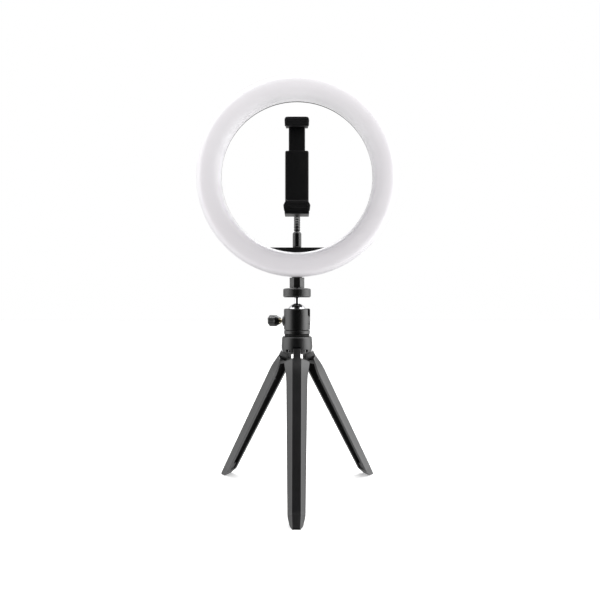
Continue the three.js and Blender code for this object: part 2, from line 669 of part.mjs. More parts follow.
// A bar along -Z whose trapezoid section changes along its length.
// section(along) gives where its outer and inner faces stand and half the width of each.
function taperedBar(from, to, steps, section) {
  const geometry = new THREE.BoxGeometry(1, 1, 1, 1, 1, steps);
  const place = geometry.getAttribute('position');
  for (let i = 0; i < place.count; i++) {
    const along = from + (0.5 - place.getZ(i)) * (to - from);
    const { outer, inner, outerHalf, innerHalf } = section(along);
    const outside = place.getX(i) > 0;
    place.setXYZ(i, outside ? outer : inner, 2 * place.getY(i) * (outside ? outerHalf : innerHalf), -along);
  }
  return solid(geometry);
}

// The leg's outer section at a distance below the hinge: wide shoulders, then a long even taper.
// Its outer face swells out below the shoulders.
function legSection(along) {
  const down = (along - leg.shoulder) / (leg.end - leg.shoulder);
  const flare = Math.exp(-(((along - leg.shoulder) / 11) ** 2));
  const swell = leg.swell * (1 - Math.exp(-(((along - leg.shoulder) / 9) ** 2)));
  return {
    outer: leg.outer + swell,
    inner: leg.outer - (9.6 - 2.4 * down - 1.5 * flare),
    outerHalf: 4.4 - 0.6 * down,
    innerHalf: 11 - 3 * down + 2.1 * flare,
  };
}

function pocketSection(along) {
  const { outer, inner, outerHalf, innerHalf } = legSection(along);
  return {
    outer: outer - leg.floor, inner: inner - 0.5, outerHalf: outerHalf - 1.2, innerHalf: innerHalf - leg.wall,
  };
}

// The mouth of the pockets, which the ribs between them stay below.
function mouthSection(along) {
  const { outer, inner, outerHalf, innerHalf } = pocketSection(along);
  const depth = leg.ribDrop + 0.5;
  const half = innerHalf + ((outerHalf - innerHalf) * depth) / (outer - inner);
  return { outer: inner + depth, inner, outerHalf: half, innerHalf };
}

// The hinge tongue seen from its side: a round knuckle with a heel that meets the crown when the leg is open.
function tongueShape() {
  const shape = new THREE.Shape();
  const heel = 66 - leg.open;
  const reach = (leg.knuckle + 0.25) / Math.sin(rad(66));
  shape.absarc(0, 0, leg.knuckle, rad(heel + 30), rad(190), false);
  shape.lineTo(-leg.rootTop, -2);
  shape.lineTo(-leg.root, -leg.shoulder + 1.5);
  shape.lineTo(-leg.root, -leg.shoulder - 1);
  shape.lineTo(leg.outer - 0.2, -leg.shoulder - 1);
  shape.lineTo(leg.knuckle, 0);
  shape.absarc(0, 0, leg.knuckle, 0, rad(heel - 30), false);
  shape.lineTo(reach * Math.cos(rad(heel)), reach * Math.sin(rad(heel)));
  shape.closePath();
  return shape;
}

function legBody(name) {
  const tongue = plateY(tongueShape(), -leg.tongue / 2, leg.tongue / 2);
  const first = leg.shoulder + 5;
  let made = taperedBar(leg.shoulder, leg.end, 14, legSection).add(tongue);
  made = made.subtract(taperedBar(first, leg.end + 1, 6, mouthSection));
  const step = (leg.end + leg.rib - first) / leg.pockets;
  for (let i = 0; i < leg.pockets; i++) {
    const from = first + i * step;
    const to = i === leg.pockets - 1 ? leg.end + 1 : from + step - leg.rib;
    made = made.subtract(taperedBar(from, to, 2, pocketSection));
  }
  return blackPlastic(name, made.subtract(rodY(hinge.pin + gap, -6, 6, 14)));
}

// The foot's side outline in the leg's own frame: its sole lies flat on the floor when the leg is open.
function footShape() {
  const sin = Math.sin(rad(leg.open));
  const cos = Math.cos(rad(leg.open));
  const floorAt = (x) => -(hinge.height + x * sin) / cos;
  const { outer, inner } = legSection(leg.end);
  const toe = outer - foot.toe;
  const heel = toe - foot.sole;
  const shape = new THREE.Shape();
  const top = -leg.end - gap;
  shape.moveTo(outer, top);
  shape.lineTo(inner, top);
  shape.lineTo(heel, floorAt(heel));
  shape.lineTo(toe, floorAt(toe));
  shape.lineTo(outer, floorAt(outer) + 2 * foot.toe);
  shape.closePath();
  return shape;
}

function footSection(along) {
  const { outer, inner, outerHalf, innerHalf } = legSection(leg.end);
  const down = Math.max(along - leg.end, 0) / (foot.tip - leg.end);
  return { outer, inner, outerHalf: outerHalf - 0.6 * down, innerHalf: innerHalf - 2 * down };
}

function footBody(name) {
  const side = plateY(footShape(), -10, 10);
  const sole = taperedBar(leg.end + gap, foot.tip + 1, 4, footSection).intersect(side);
  const tenonSection = (along) => {
    const { outer, inner, outerHalf, innerHalf } = pocketSection(along);
    return { outer: outer - gap, inner: inner + 1.6, outerHalf: outerHalf - gap, innerHalf: innerHalf - 1.2 };
  };
  return rubber(name, sole.add(taperedBar(leg.end - foot.tenon, leg.end + 1, 1, tenonSection)));
}

function legAssembly(side, azimuth) {
  const swing = new THREE.Group();
  swing.position.set(hinge.radius, 0, hinge.height);
  swing.rotation.y = -rad(leg.open);
  swing.add(legBody(`${side}_leg`), footBody(`${side}_foot`));
  const pin = steel(`${side}_hinge_pin`, rodY(hinge.pin, -hinge.halfLength, hinge.halfLength, 14));
  pin.position.copy(swing.position);
  const group = new THREE.Group();
  group.rotation.z = rad(azimuth);
  group.add(swing, pin);
  return group;
}

// ---- assembly -----------------------------------------------------------------------------------

const light = new THREE.Group();
light.add(ringHead(), phoneHolder(), ballHead(), ...crownPieces());
for (const [side, azimuth] of Object.entries(azimuths)) light.add(legAssembly(side, azimuth));

// The origin goes to the middle of the footprint, on the floor.
const bounds = new THREE.Box3().setFromObject(light, true);
const middle = bounds.getCenter(new THREE.Vector3());
light.position.set(-middle.x, -middle.y, -bounds.min.z);
const ringLight = new THREE.Group();
ringLight.add(light);

export default ringLight;
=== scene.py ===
"""The looks of the ring light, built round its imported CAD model.

Pieces are drawn in millimetres about the tripod's axis, with heights above the floor, and placed in the
row frame.
"""

import math

import bmesh
import bpy
from mathutils import Matrix, Vector


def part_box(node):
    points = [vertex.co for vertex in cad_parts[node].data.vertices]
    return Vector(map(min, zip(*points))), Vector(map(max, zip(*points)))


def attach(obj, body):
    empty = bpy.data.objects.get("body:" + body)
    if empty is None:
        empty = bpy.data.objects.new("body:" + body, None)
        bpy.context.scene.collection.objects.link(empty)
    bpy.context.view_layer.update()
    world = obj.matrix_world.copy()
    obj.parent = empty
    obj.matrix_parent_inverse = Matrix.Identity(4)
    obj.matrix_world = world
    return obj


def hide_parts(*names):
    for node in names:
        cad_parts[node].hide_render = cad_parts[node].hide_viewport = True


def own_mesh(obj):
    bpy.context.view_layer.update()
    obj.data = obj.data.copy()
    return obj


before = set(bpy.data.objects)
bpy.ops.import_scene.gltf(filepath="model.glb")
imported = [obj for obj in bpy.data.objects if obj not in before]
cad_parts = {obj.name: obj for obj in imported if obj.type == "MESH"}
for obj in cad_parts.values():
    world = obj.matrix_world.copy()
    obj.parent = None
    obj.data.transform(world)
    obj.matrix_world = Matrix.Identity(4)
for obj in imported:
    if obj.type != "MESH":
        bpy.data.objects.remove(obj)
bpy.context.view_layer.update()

# ---- sizes in millimetres, as in the CAD model ----------------------------------------------------

MM = 0.001
AXIS_Y = sum(corner.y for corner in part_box("ball_stem")) / 2
GAP = 0.3
SMOOTH = math.radians(32)  # edges sharper than this stay crisp
CORNER_STEPS = 4  # points round a softened corner
FINE = 160  # segments round the ring
TURNED = 96  # segments round a turned piece
SMALL = 40  # segments round a small one

RING_Z, RING_OUT, RING_HOLE, RING_BACK, RING_SEAM = 311.3, 99.9, 75.4, 10.5, -1.0
RING_MID = (RING_OUT + RING_HOLE) / 2
RING_HALF = (RING_OUT - RING_HOLE) / 2
DOME, SKIRT, DOME_WALL, DOME_POWER = 12.3, 2.6, 1.8, 2 / 2.3
SCREW_CIRCLE, SCREW_COUNT, SCREW_R, GLAND_ANGLE, GLAND_R = 87.6, 6, 2.8, 254, 2.8
WEB_TOP, WEB_FRONT, WEB_REACH = 241.4, 1.4, 81.6
NECK_LOW, NECK_TOP, NECK_FLAT, TENON_TOP = 200.7, 210.9, 7.3, 223.0
NECK_SCREW_Z, NECK_SCREW_X, NECK_SCREW_R = TENON_TOP - 5, 3, 2.1
TENON_HALF, TENON_FRONT, TENON_BACK, NECK_BORE, NECK_BORE_TOP = 5, 2.6, 7, 4.6, 208.7

HOLDER_Y = (WEB_FRONT + RING_BACK) / 2
SLEEVE_R, SLEEVE_TOP = 4.45, 257.8
GOOSE_R, GOOSE_LEAN, LOW_BEND, HIGH_BEND, GOOSE_COUNT, GOOSE_GAP = 3.2, math.radians(40), 18, 14, 6, 0.55
STUD_Y, BALL_R, STUD_R, FERRULE_R = 0.5, 5.0, 2.0, 3.9
CLAMP_FRONT, CLAMP_BACK, CLAMP_LOW, CLAMP_FLOOR, CLAMP_TOP = -15.2, -6.2, -40.1, -32.9, 23.1
PAD, ROOM, LIP_FRONT, LIP_THICK = 1.4, 77.2, -26.0, 2.3
ROOF = CLAMP_FLOOR + ROOM + 2 * PAD
JAW_TOP = ROOF + 5.2
BAR_FRONT, BAR_BACK, BAR_HALF, BAR_LENGTH, JAW_TRAVEL = -13.7, -7.7, 8.0, 50.0, 20.0
BAR_MID = (BAR_FRONT + BAR_BACK) / 2
CLAMP_HALF, SHELF_HALF, JAW_HALF, PAD_HALF = 11.5, 11.75, 11, 10

BALL_Z, HEAD_BALL_R, STEM_R, STEM_TOP = 175.4, 10.0, 2.6, 195.8
DISC_LOW, DISC_TOP, DISC_R, DISC_BORE, PAD_R, PAD_TOP, KNURL = 191.2, 200.0, 13.8, 3.4, 12.2, 200.2, 0.14
HEAD_TURN = math.radians(-20)
HEAD_LOW, HEAD_TOP, HEAD_R, SOCKET_R, CHAMBER_FLOOR, NOTCH = 158.9, 180.0, 13.1, 10.15, 161.7, 3.5
BASE_LOW, BASE_TOP, SPIGOT_R, SPIGOT_TOP, RECESS_TOP = 154.7, 158.3, 6.0, 163.8, 161.3
LOCK_Z, GRUB_Z, THREAD_START, THREAD_END, KNOB_START, KNOB_END = 167.6, 165.6, 9.5, 18.4, 19.3, 30.0
CROWN_LOW, CROWN_TOP, BOLT_TOP, BOLT_BORE = 135.6, 152.3, 160.8, 3.3
WASHER_LOW, WASHER_TOP, WASHER_R = 152.6, 154.4, 12.4
HINGE_R, HINGE_Z, LEG_OPEN, PIN_R, PIN_END = 12.0, 138.6, math.radians(28.5), 1.4, 8.4
LEG_OUTER, LEG_SWELL, SHOULDER, LEG_END, KNUCKLE, TONGUE = 4.0, 2.0, 8.5, 148.5, 3.9, 3.5
LEG_WALL, LEG_FLOOR, RIB, RIB_DROP, POCKETS, TENON = 3.6, 1.8, 1.6, 4.5, 6, 7.0
LEG_DEEP, OUTER_HALF, INNER_HALF = (9.6, -2.4), (4.4, -0.6), (11, -3)  # at the shoulder, and added by the end
FLARE_DEEP, FLARE_WIDE, FLARE_RUN, SWELL_RUN = 1.5, 2.1, 11, 9
FOOT_TIP, SOLE, TOE, HEEL_ANGLE = 161.0, 5.8, 0.8, 66
SIDES = {"front": -90, "right": 30, "left": 150}


def stand(x=0.0, y=0.0, z=0.0):
    """The place of a point given in millimetres from the tripod's axis and the floor."""
    return Matrix.Translation((x * MM, AXIS_Y + y * MM, z * MM))


def turn(degrees, axis):
    return Matrix.Rotation(math.radians(degrees), 4, axis)


TO_Y = turn(-90, "X")  # a turned piece's own axis goes to +Y
TO_LEFT = turn(-90, "Y")
TO_RIGHT = turn(90, "Y")
UPRIGHT = Matrix(((1, 0, 0, 0), (0, 0, 1, 0), (0, 1, 0, 0), (0, 0, 0, 1)))  # an outline's y becomes z
SIDEWAYS = Matrix(((0, 0, 1, 0), (1, 0, 0, 0), (0, 1, 0, 0), (0, 0, 0, 1)))  # an outline's x, y become y, z

# ---- materials ------------------------------------------------------------------------------------


def node(tree, kind, inputs=None, **settings):
    made = tree.nodes.new(kind)
    for name, value in settings.items():
        setattr(made, name, value)
    for name, value in (inputs or {}).items():
        if isinstance(value, bpy.types.NodeSocket):
            tree.links.new(value, made.inputs[name])
        else:
            made.inputs[name].default_value = value
    return made


def arithmetic(tree, operation, *values):
    """A Math node on numbers or sockets."""
    return node(tree, "ShaderNodeMath", dict(enumerate(values)), operation=operation).outputs["Value"]


def vectors(tree, operation, *values, result="Vector"):
    """A Vector Math node on vectors or sockets."""
    return node(tree, "ShaderNodeVectorMath", dict(enumerate(values)), operation=operation).outputs[result]


def ramp(tree, value, low, high, start=0.0, end=1.0, **settings):
    """A Map Range node: start where the value is low, end where it is high, and held beyond."""
    inputs = {"Value": value, "From Min": low, "From Max": high, "To Min": start, "To Max": end}
    return node(tree, "ShaderNodeMapRange", inputs, **settings).outputs["Result"]


def noise(tree, place, scale, detail):
    inputs = {"Vector": place, "Scale": scale, "Detail": detail}
    return node(tree, "ShaderNodeTexNoise", inputs).outputs["Fac"]


# The pale grey painted on convex edges as a highlight.
EDGE_HIGHLIGHT = (0.2, 0.2, 0.21, 1)
DRIFT_SCALE, BUMP_DISTANCE = 90.0, 0.0002
DRIFT_SPAN, EDGE_SPAN, GRAIN_SPAN = (0.35, 0.65), (0.52, 0.62), (0.3, 0.7)
OPAL_TINT = (1.01, 0.975, 1.005)
# Painted light on the opal: a glow at radii of the ring, and how much more of it is painted at the top and
# less at the foot, as if lit from above.
PAINTED_GLOW_STOPS = (
    (75.4, 0.05), (99.9, 0.2), (78.0, 0.2), (80.0, 0.36),
    (84.0, 0.44), (88.0, 0.48), (96.0, 0.5), (98.0, 0.44),
)
PAINTED_TOP_LIGHT_STOPS = ((75.4, 0.4), (99.9, 0.0), (78.0, 0.33), (80.0, 0.2), (84.0, 0.1), (88.0, 0.07), (96.0, 0.03))


def look(name, dark, light, rough, grain, depth, stretch=(1, 1, 1), edge_highlight=0.0, **sockets):
    """A procedural finish: a colour that drifts from dark to light, a fine grain, and edges painted paler as
    a highlight.
    """
    material = bpy.data.materials.new(name)
    material.use_nodes = True
    tree = material.node_tree
    shader = tree.nodes["Principled BSDF"]
    place = node(tree, "ShaderNodeTexCoord").outputs["Object"]
    stretched = node(tree, "ShaderNodeMapping", {"Vector": place, "Scale": stretch}).outputs["Vector"]
    cloud = noise(tree, place, DRIFT_SCALE, 3.0)
    fine = noise(tree, stretched, grain, 5.0)
    base = mixed(tree, ramp(tree, cloud, *DRIFT_SPAN), (*dark, 1), (*light, 1))
    # Painted highlight: convex edges are mixed towards a pale grey.
    if edge_highlight:
        edge = node(tree, "ShaderNodeNewGeometry").outputs["Pointiness"]
        base = mixed(tree, ramp(tree, edge, *EDGE_SPAN, end=edge_highlight), base, EDGE_HIGHLIGHT)
    tree.links.new(base, shader.inputs["Base Color"])
    tree.links.new(ramp(tree, fine, *GRAIN_SPAN, *rough), shader.inputs["Roughness"])
    bump = node(tree, "ShaderNodeBump", {"Height": fine, "Strength": depth, "Distance": BUMP_DISTANCE})
    tree.links.new(bump.outputs["Normal"], shader.inputs["Normal"])
    for socket, value in sockets.items():
        shader.inputs[socket.replace("_", " ")].default_value = value
    return material


def mixed(tree, share, first, second):
    """A colour between two, each a socket or a constant. A Mix node's colour sockets are found by index."""
    return node(tree, "ShaderNodeMix", {0: share, 6: first, 7: second}, data_type="RGBA").outputs[2]


def radial_ramp(tree, share, stops, tint):
    """Shades at given radii of the ring, blended between them."""
    shades = node(tree, "ShaderNodeValToRGB", {"Fac": share})
    elements = shades.color_ramp.elements
    for i, (radius, shade) in enumerate(stops):
        stop = elements[i] if i < 2 else elements.new(1)
        stop.position = (radius - RING_HOLE) / (RING_OUT - RING_HOLE)
        stop.color = (*(shade * part for part in tint), 1)
    return shades.outputs["Color"]


def opal():
    """Milky plastic over a painted glow that stands in for light: least at the hole's rim, brighter at the
    top and dimmer at the foot, as if lit from above.
    """
    material = look("opal_diffuser", (0.8, 0.785, 0.815), (0.84, 0.83, 0.855), (0.3, 0.36), 900.0, 0.02,
                    Subsurface_Weight=0.25, Subsurface_Radius=(0.004, 0.004, 0.004), Coat_Weight=0.15,
                    Coat_Roughness=0.2, Emission_Strength=1.0)
    tree = material.node_tree
    place = node(tree, "ShaderNodeTexCoord").outputs["Object"]
    flat = vectors(tree, "MULTIPLY", place, (1, 0, 1))
    radius = vectors(tree, "LENGTH", flat, result="Value")
    share = ramp(tree, radius, RING_HOLE * MM, RING_OUT * MM)
    height = node(tree, "ShaderNodeSeparateXYZ", {0: place}).outputs["Z"]
    rise = arithmetic(tree, "DIVIDE", height, RING_OUT * MM)
    # Painted light: a glow by radius, with more painted at the top and less at the foot.
    level = radial_ramp(tree, share, PAINTED_GLOW_STOPS, OPAL_TINT)
    painted_top_light = radial_ramp(tree, share, PAINTED_TOP_LIGHT_STOPS, (1, 1, 1))
    painted_glow = vectors(tree, "MULTIPLY_ADD", painted_top_light, rise, level)
    painted_glow = vectors(tree, "MAXIMUM", painted_glow, (0, 0, 0))
    tree.links.new(painted_glow, tree.nodes["Principled BSDF"].inputs["Emission Color"])
    return material


LOOKS = {
    "opal": opal(),
    "shell": look("black_shell", (0.005, 0.005, 0.0055), (0.008, 0.008, 0.0085), (0.36, 0.5), 3800.0, 0.35,
                  edge_highlight=0.1),
    "plastic": look("black_plastic", (0.005, 0.005, 0.006), (0.008, 0.008, 0.009), (0.3, 0.42), 3400.0, 0.3,
                    edge_highlight=0.16, Specular_IOR_Level=1.0),
    "anodised": look("black_anodised", (0.005, 0.005, 0.0052), (0.008, 0.008, 0.0082), (0.24, 0.36), 4200.0,
                     0.2, edge_highlight=0.15, Specular_IOR_Level=1.0),
    "glossy": look("black_lacquer", (0.005, 0.005, 0.0055), (0.008, 0.008, 0.0085), (0.16, 0.24), 1500.0,
                   0.06, Specular_IOR_Level=0.9, Coat_Weight=0.4, Coat_Roughness=0.08),
    "chrome": look("polished_chrome", (0.78, 0.78, 0.8), (0.84, 0.84, 0.86), (0.03, 0.07), 1200.0, 0.01,
                   Metallic=1.0),
    "steel": look("plated_steel", (0.5, 0.5, 0.51), (0.6, 0.6, 0.61), (0.2, 0.36), 900.0, 0.12,
                  stretch=(1, 1, 12), Metallic=1.0),
    "brass": look("pale_brass", (0.56, 0.49, 0.34), (0.68, 0.61, 0.45), (0.18, 0.32), 900.0, 0.12,
                  stretch=(1, 1, 12), Metallic=1.0),
    "rubber": look("black_rubber", (0.007, 0.007, 0.007), (0.011, 0.011, 0.011), (0.66, 0.82), 2600.0, 0.5,
                   edge_highlight=0.05),
    "boot": look("satin_rubber", (0.005, 0.005, 0.006), (0.008, 0.008, 0.009), (0.36, 0.48), 3000.0, 0.4,
                 edge_highlight=0.1, Specular_IOR_Level=1.0),
    "white": look("white_plastic", (0.74, 0.74, 0.73), (0.8, 0.8, 0.79), (0.4, 0.5), 2200.0, 0.15),
    "red": look("red_insulation", (0.3, 0.02, 0.02), (0.4, 0.035, 0.03), (0.4, 0.5), 1500.0, 0.1),
}

# ---- mesh tools -----------------------------------------------------------------------------------


def soften(points, radius, closed=False):
    """A polyline with rounded corners. A point's third number is that corner's own radius."""
    made = []
    last = len(points) - 1
    for i, point in enumerate(points):
        here = Vector(point[:2])
        corner = point[2] if len(point) > 2 else radius
        if corner == 0 or (not closed and i in (0, last)):
            made.append(tuple(here))
            continue
        back = Vector(points[i - 1][:2]) - here
        ahead = Vector(points[(i + 1) % (last + 1)][:2]) - here
        cut = min(corner / math.tan(back.angle(ahead) / 2), 0.48 * back.length, 0.48 * ahead.length)
        start = here + back.normalized() * cut
        end = here + ahead.normalized() * cut
        for step in range(CORNER_STEPS + 1):
            t = step / CORNER_STEPS
            made.append(tuple((1 - t) ** 2 * start + 2 * t * (1 - t) * here + t * t * end))
    return made


def bend(start, pull, end, steps=10):
    """Points of a curve from start to end that is drawn towards pull."""
    a, b, c = Vector(start), Vector(pull), Vector(end)
    shares = (i / steps for i in range(steps + 1))
    return [tuple((1 - t) ** 2 * a + 2 * t * (1 - t) * b + t * t * c) for t in shares]


def spread(start, end, count):
    return [start + (end - start) * i / count for i in range(count + 1)]


def arc(radius, centre, start, end, steps=12):
    """Points of an arc round the height centre, from one angle above the equator to another."""
    made = []
    for i in range(steps + 1):
        angle = math.radians(start + (end - start) * i / steps)
        across = 0 if abs(start) == 90 and i == 0 else radius * math.cos(angle)
        made.append((across, centre + radius * math.sin(angle)))
    return made


def outward(bm):
    """Every face of a closed mesh turned to look outward."""
    bmesh.ops.recalc_face_normals(bm, faces=bm.faces)
    if bm.calc_volume(signed=True) < 0:
        bmesh.ops.reverse_faces(bm, faces=bm.faces)
    return bm


def skin(rings, loop=False):
    """A mesh over rings of points. A ring of one point closes the end; longer end rings get a flat cap."""
    bm = bmesh.new()
    made = [[bm.verts.new(p) for p in ring] for ring in rings]
    pairs = list(zip(made, made[1:]))
    if loop:
        pairs.append((made[-1], made[0]))
    for low, high in pairs:
        count = max(len(low), len(high)) if len(low) + len(high) > 2 else 0
        for i in range(count):
            j = (i + 1) % count
            if len(low) == 1:
                bm.faces.new((low[0], high[j], high[i]))
            elif len(high) == 1:
                bm.faces.new((low[i], low[j], high[0]))
            else:
                bm.faces.new((low[i], low[j], high[j], high[i]))
    if not loop:
        for ring in (made[0], made[-1]):
            if len(ring) > 2:
                bm.faces.new(ring)
    return outward(bm)


def lathe(profile, segments=TURNED, loop=False, shape=None):
    """A profile of (radius, height) points turned about Z. shape(radius, angle, height) varies a radius."""
    rings = []
    for radius, height in profile:
        if radius < 1e-4:
            rings.append([(0, 0, height)])
            continue
        ring = []
        for i in range(segments):
            angle = 2 * math.pi * i / segments
            r = shape(radius, angle, height) if shape else radius
            ring.append((r * math.cos(angle), r * math.sin(angle), height))
        rings.append(ring)
    return skin(rings, loop)


def inset(outline, amount):
    """A closed outline drawn in by an amount along its corners' normals."""
    made = []
    count = len(outline)
    area = sum(outline[i][0] * outline[(i + 1) % count][1] - outline[(i + 1) % count][0] * outline[i][1]
               for i in range(count))
    side = 1 if area > 0 else -1
    for i in range(count):
        before, here, after = (Vector(outline[k % count]) for k in (i - 1, i, i + 1))
        along = (here - before).normalized() + (after - here).normalized()
        normal = Vector((-along.y, along.x)).normalized()
        made.append(tuple(here + normal * amount * side))
    return made


def slab(outline, low, high, edge=0.0):
    """An outline extruded along Z, with rims rounded by edge."""
    rings = []
    turns = [math.pi / 2 * step / CORNER_STEPS for step in range(CORNER_STEPS + 1)] if edge else [math.pi / 2]
    for base, side, order in ((low, 1, turns), (high, -1, turns[::-1])):
        for angle in order:
            height = base + side * edge * (1 - math.cos(angle))
            drawn = inset(outline, edge * (1 - math.sin(angle)))
            rings.append([(x, y, height) for x, y in drawn])
    return skin(rings)


def rectangle(low, high, corner):
    (x0, y0), (x1, y1) = low, high
    return soften([(x0, y0), (x1, y0), (x1, y1), (x0, y1)], corner, closed=True)


def block(low, high, corner=0.4, edge=0.3):
    """A box from its two corners with rounded edges."""
    return slab(rectangle(low[:2], high[:2], corner), low[2], high[2], edge)


def rod(radius, low, high, segments=SMALL):
    return lathe([(0, low), (radius, low), (radius, high), (0, high)], segments)


def placed(bm, *matrices):
    for matrix in matrices:
        bm.transform(matrix)
    return outward(bm)


def shifted(bm, x=0.0, y=0.0, z=0.0):
    return placed(bm, Matrix.Translation((x, y, z)))


def combine(bm, joined=(), cut=(), kept=()):
    """One mesh with others joined to it, then others cut from it, then only what others hold kept."""
    def loose(mesh_data):
        mesh = bpy.data.meshes.new("loose")
        mesh_data.to_mesh(mesh)
        mesh_data.free()
        obj = bpy.data.objects.new("loose", mesh)
        bpy.context.scene.collection.objects.link(obj)
        return obj

    base = loose(bm)
    tools = []
    for operation, pieces in (("UNION", joined), ("DIFFERENCE", cut), ("INTERSECT", kept)):
        for piece in pieces:
            tool = loose(piece)
            modifier = base.modifiers.new("cut", "BOOLEAN")
            modifier.operation = operation
            modifier.object = tool
            modifier.solver = "MANIFOLD"
            tools.append(tool)
    graph = bpy.context.evaluated_depsgraph_get()
    mesh = bpy.data.meshes.new_from_object(base.evaluated_get(graph))
    made = bmesh.new()
    made.from_mesh(mesh)
    for obj in (base, *tools):
        data = obj.data
        bpy.data.objects.remove(obj)
        bpy.data.meshes.remove(data)
    bpy.data.meshes.remove(mesh)
    return made


def to_mesh(name, bm, finish):
    """A finished mesh in metres from one in millimetres."""
    bm.transform(Matrix.Scale(MM, 4))
    mesh = bpy.data.meshes.new(name)
    bm.to_mesh(mesh)
    bm.free()
    mesh.shade_smooth()
    mesh.set_sharp_from_angle(angle=SMOOTH)
    mesh.materials.append(LOOKS[finish])
    return mesh


def add(name, mesh, finish, body, stands_for, at=None):
    """One piece in its place, riding on a body and standing for a CAD node. Its mesh takes up the turn."""
    if isinstance(mesh, bmesh.types.BMesh):
        mesh = to_mesh(name, mesh, finish)
    location, rotation, _ = (at if at is not None else stand()).decompose()
    if rotation.angle > 1e-6:
        mesh = mesh.copy()
        mesh.transform(rotation.to_matrix().to_4x4())
    obj = bpy.data.objects.new(name, mesh)
    bpy.context.scene.collection.objects.link(obj)
    obj.matrix_world = Matrix.Translation(location)
    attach(obj, body)
    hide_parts(stands_for)
    return obj


# ---- the ring -------------------------------------------------------------------------------------

RING_PLACE = stand(z=RING_Z)


def on_circle(radius, degrees):
    angle = math.radians(degrees)
    return radius * math.cos(angle), radius * math.sin(angle)


def dome(half, height, steps=36):
    """The crowned front's section in radius and y, from the outer seam over the top to the inner seam."""
    made = [(RING_MID + half, RING_SEAM)]
    for i in range(steps + 1):
        angle = math.pi * i / steps
        across = math.copysign(abs(math.cos(angle)) ** DOME_POWER, math.cos(angle))
        rise = SKIRT + (height - SKIRT) * math.sin(angle) ** DOME_POWER if 0 < i < steps else SKIRT
        made.append((RING_MID + half * across, RING_SEAM - rise))
    return [*made, (RING_MID - half, RING_SEAM)]


def diffuser():
    outside = dome(RING_HALF - 0.1, DOME)
    inside = dome(RING_HALF - 0.1 - DOME_WALL, DOME - DOME_WALL)[::-1]
    bm = placed(lathe(outside + inside, FINE, loop=True), TO_Y)
    add("diffuser_shell", bm, "opal", "lamp", "front_diffuser", RING_PLACE)


def tray():
    """The rear housing's section: a lip inside the diffuser, bowed walls and a flat back."""
    lip = RING_HALF - 0.1 - DOME_WALL - GAP
    front, start = RING_SEAM - 2.2, RING_SEAM + GAP
    return [
        (RING_MID + lip, front), (RING_MID + lip, start),
        *bend((RING_OUT - 0.3, start), (RING_OUT - 1, RING_BACK), (RING_OUT - 7.5, RING_BACK)),
        *bend((RING_HOLE + 7.5, RING_BACK), (RING_HOLE + 1.6, RING_BACK - 1.5), (RING_HOLE, start)),
        (RING_MID - lip, start), (RING_MID - lip, front), (RING_MID - lip + 1.3, front),
        (RING_MID - lip + 1.3, start + 1.5),
        *bend((RING_MID - lip + 1.8, start + 3), (RING_HOLE + 4.2, RING_BACK - 2.4),
              (RING_HOLE + 8.6, RING_BACK - 2)),
        *bend((RING_OUT - 8.6, RING_BACK - 2), (RING_OUT - 3.4, RING_BACK - 2.4),
              (RING_MID + lip - 1.8, start + 3)),
        (RING_MID + lip - 1.3, start + 1.5), (RING_MID + lip - 1.3, front),
    ]


def rear_housing():
    level = WEB_TOP - RING_Z
    end = math.degrees(math.asin(level / WEB_REACH))
    steps = 40
    curve = [on_circle(WEB_REACH, end + (-180 - 2 * end) * i / steps) for i in range(steps + 1)]
    web = placed(slab(curve, WEB_FRONT, RING_BACK, 0.6), UPRIGHT)
    boss = block((-8, WEB_FRONT, -98.2), (8, RING_BACK, -84))
    half, top = TENON_HALF + GAP, TENON_TOP - RING_Z + GAP
    slot = block((-half, TENON_FRONT - GAP, -112), (half, TENON_BACK + GAP, top), 0.1, 0.1)
    cuts = [slot, shifted(rod(3.9, level - 10, level + 1), y=HOLDER_Y)]

    def hole(radius, depth, x, z):
        cuts.append(shifted(placed(rod(radius, RING_BACK - depth, RING_BACK + 1), TO_Y), x, 0, z))

    for i in range(SCREW_COUNT):
        hole(SCREW_R + 0.5, 1.1, *on_circle(SCREW_CIRCLE, i * 360 / SCREW_COUNT))
    for x in (-NECK_SCREW_X, NECK_SCREW_X):
        hole(NECK_SCREW_R + 0.4, 1, x, NECK_SCREW_Z - RING_Z)
    hole(GLAND_R + GAP, RING_BACK - 5, *on_circle(SCREW_CIRCLE, GLAND_ANGLE))
    shell = placed(lathe(tray(), FINE, loop=True), TO_Y)
    bm = combine(shell, joined=[web, boss], cut=cuts)
    add("housing_shell", bm, "shell", "lamp", "rear_housing", RING_PLACE)


def pan_screw(radius, height):
    """A pan head with a cross recess, its top at zero."""
    shank, deep = radius * 0.42, -height - 4
    profile = soften([(0, deep), (shank, deep, 0), (shank, -height, 0), (radius, -height, 0),
                      (radius, -0.2, 0.25), (radius * 0.6, 0, 0.4), (0, 0)], 0.1)
    arm, half = radius * 0.55, radius * 0.13
    cross = [block((-x, -y, -0.45), (x, y, 1), 0.05, 0.02) for x, y in ((arm, half), (half, arm))]
    return combine(lathe(profile, SMALL), cut=cross)


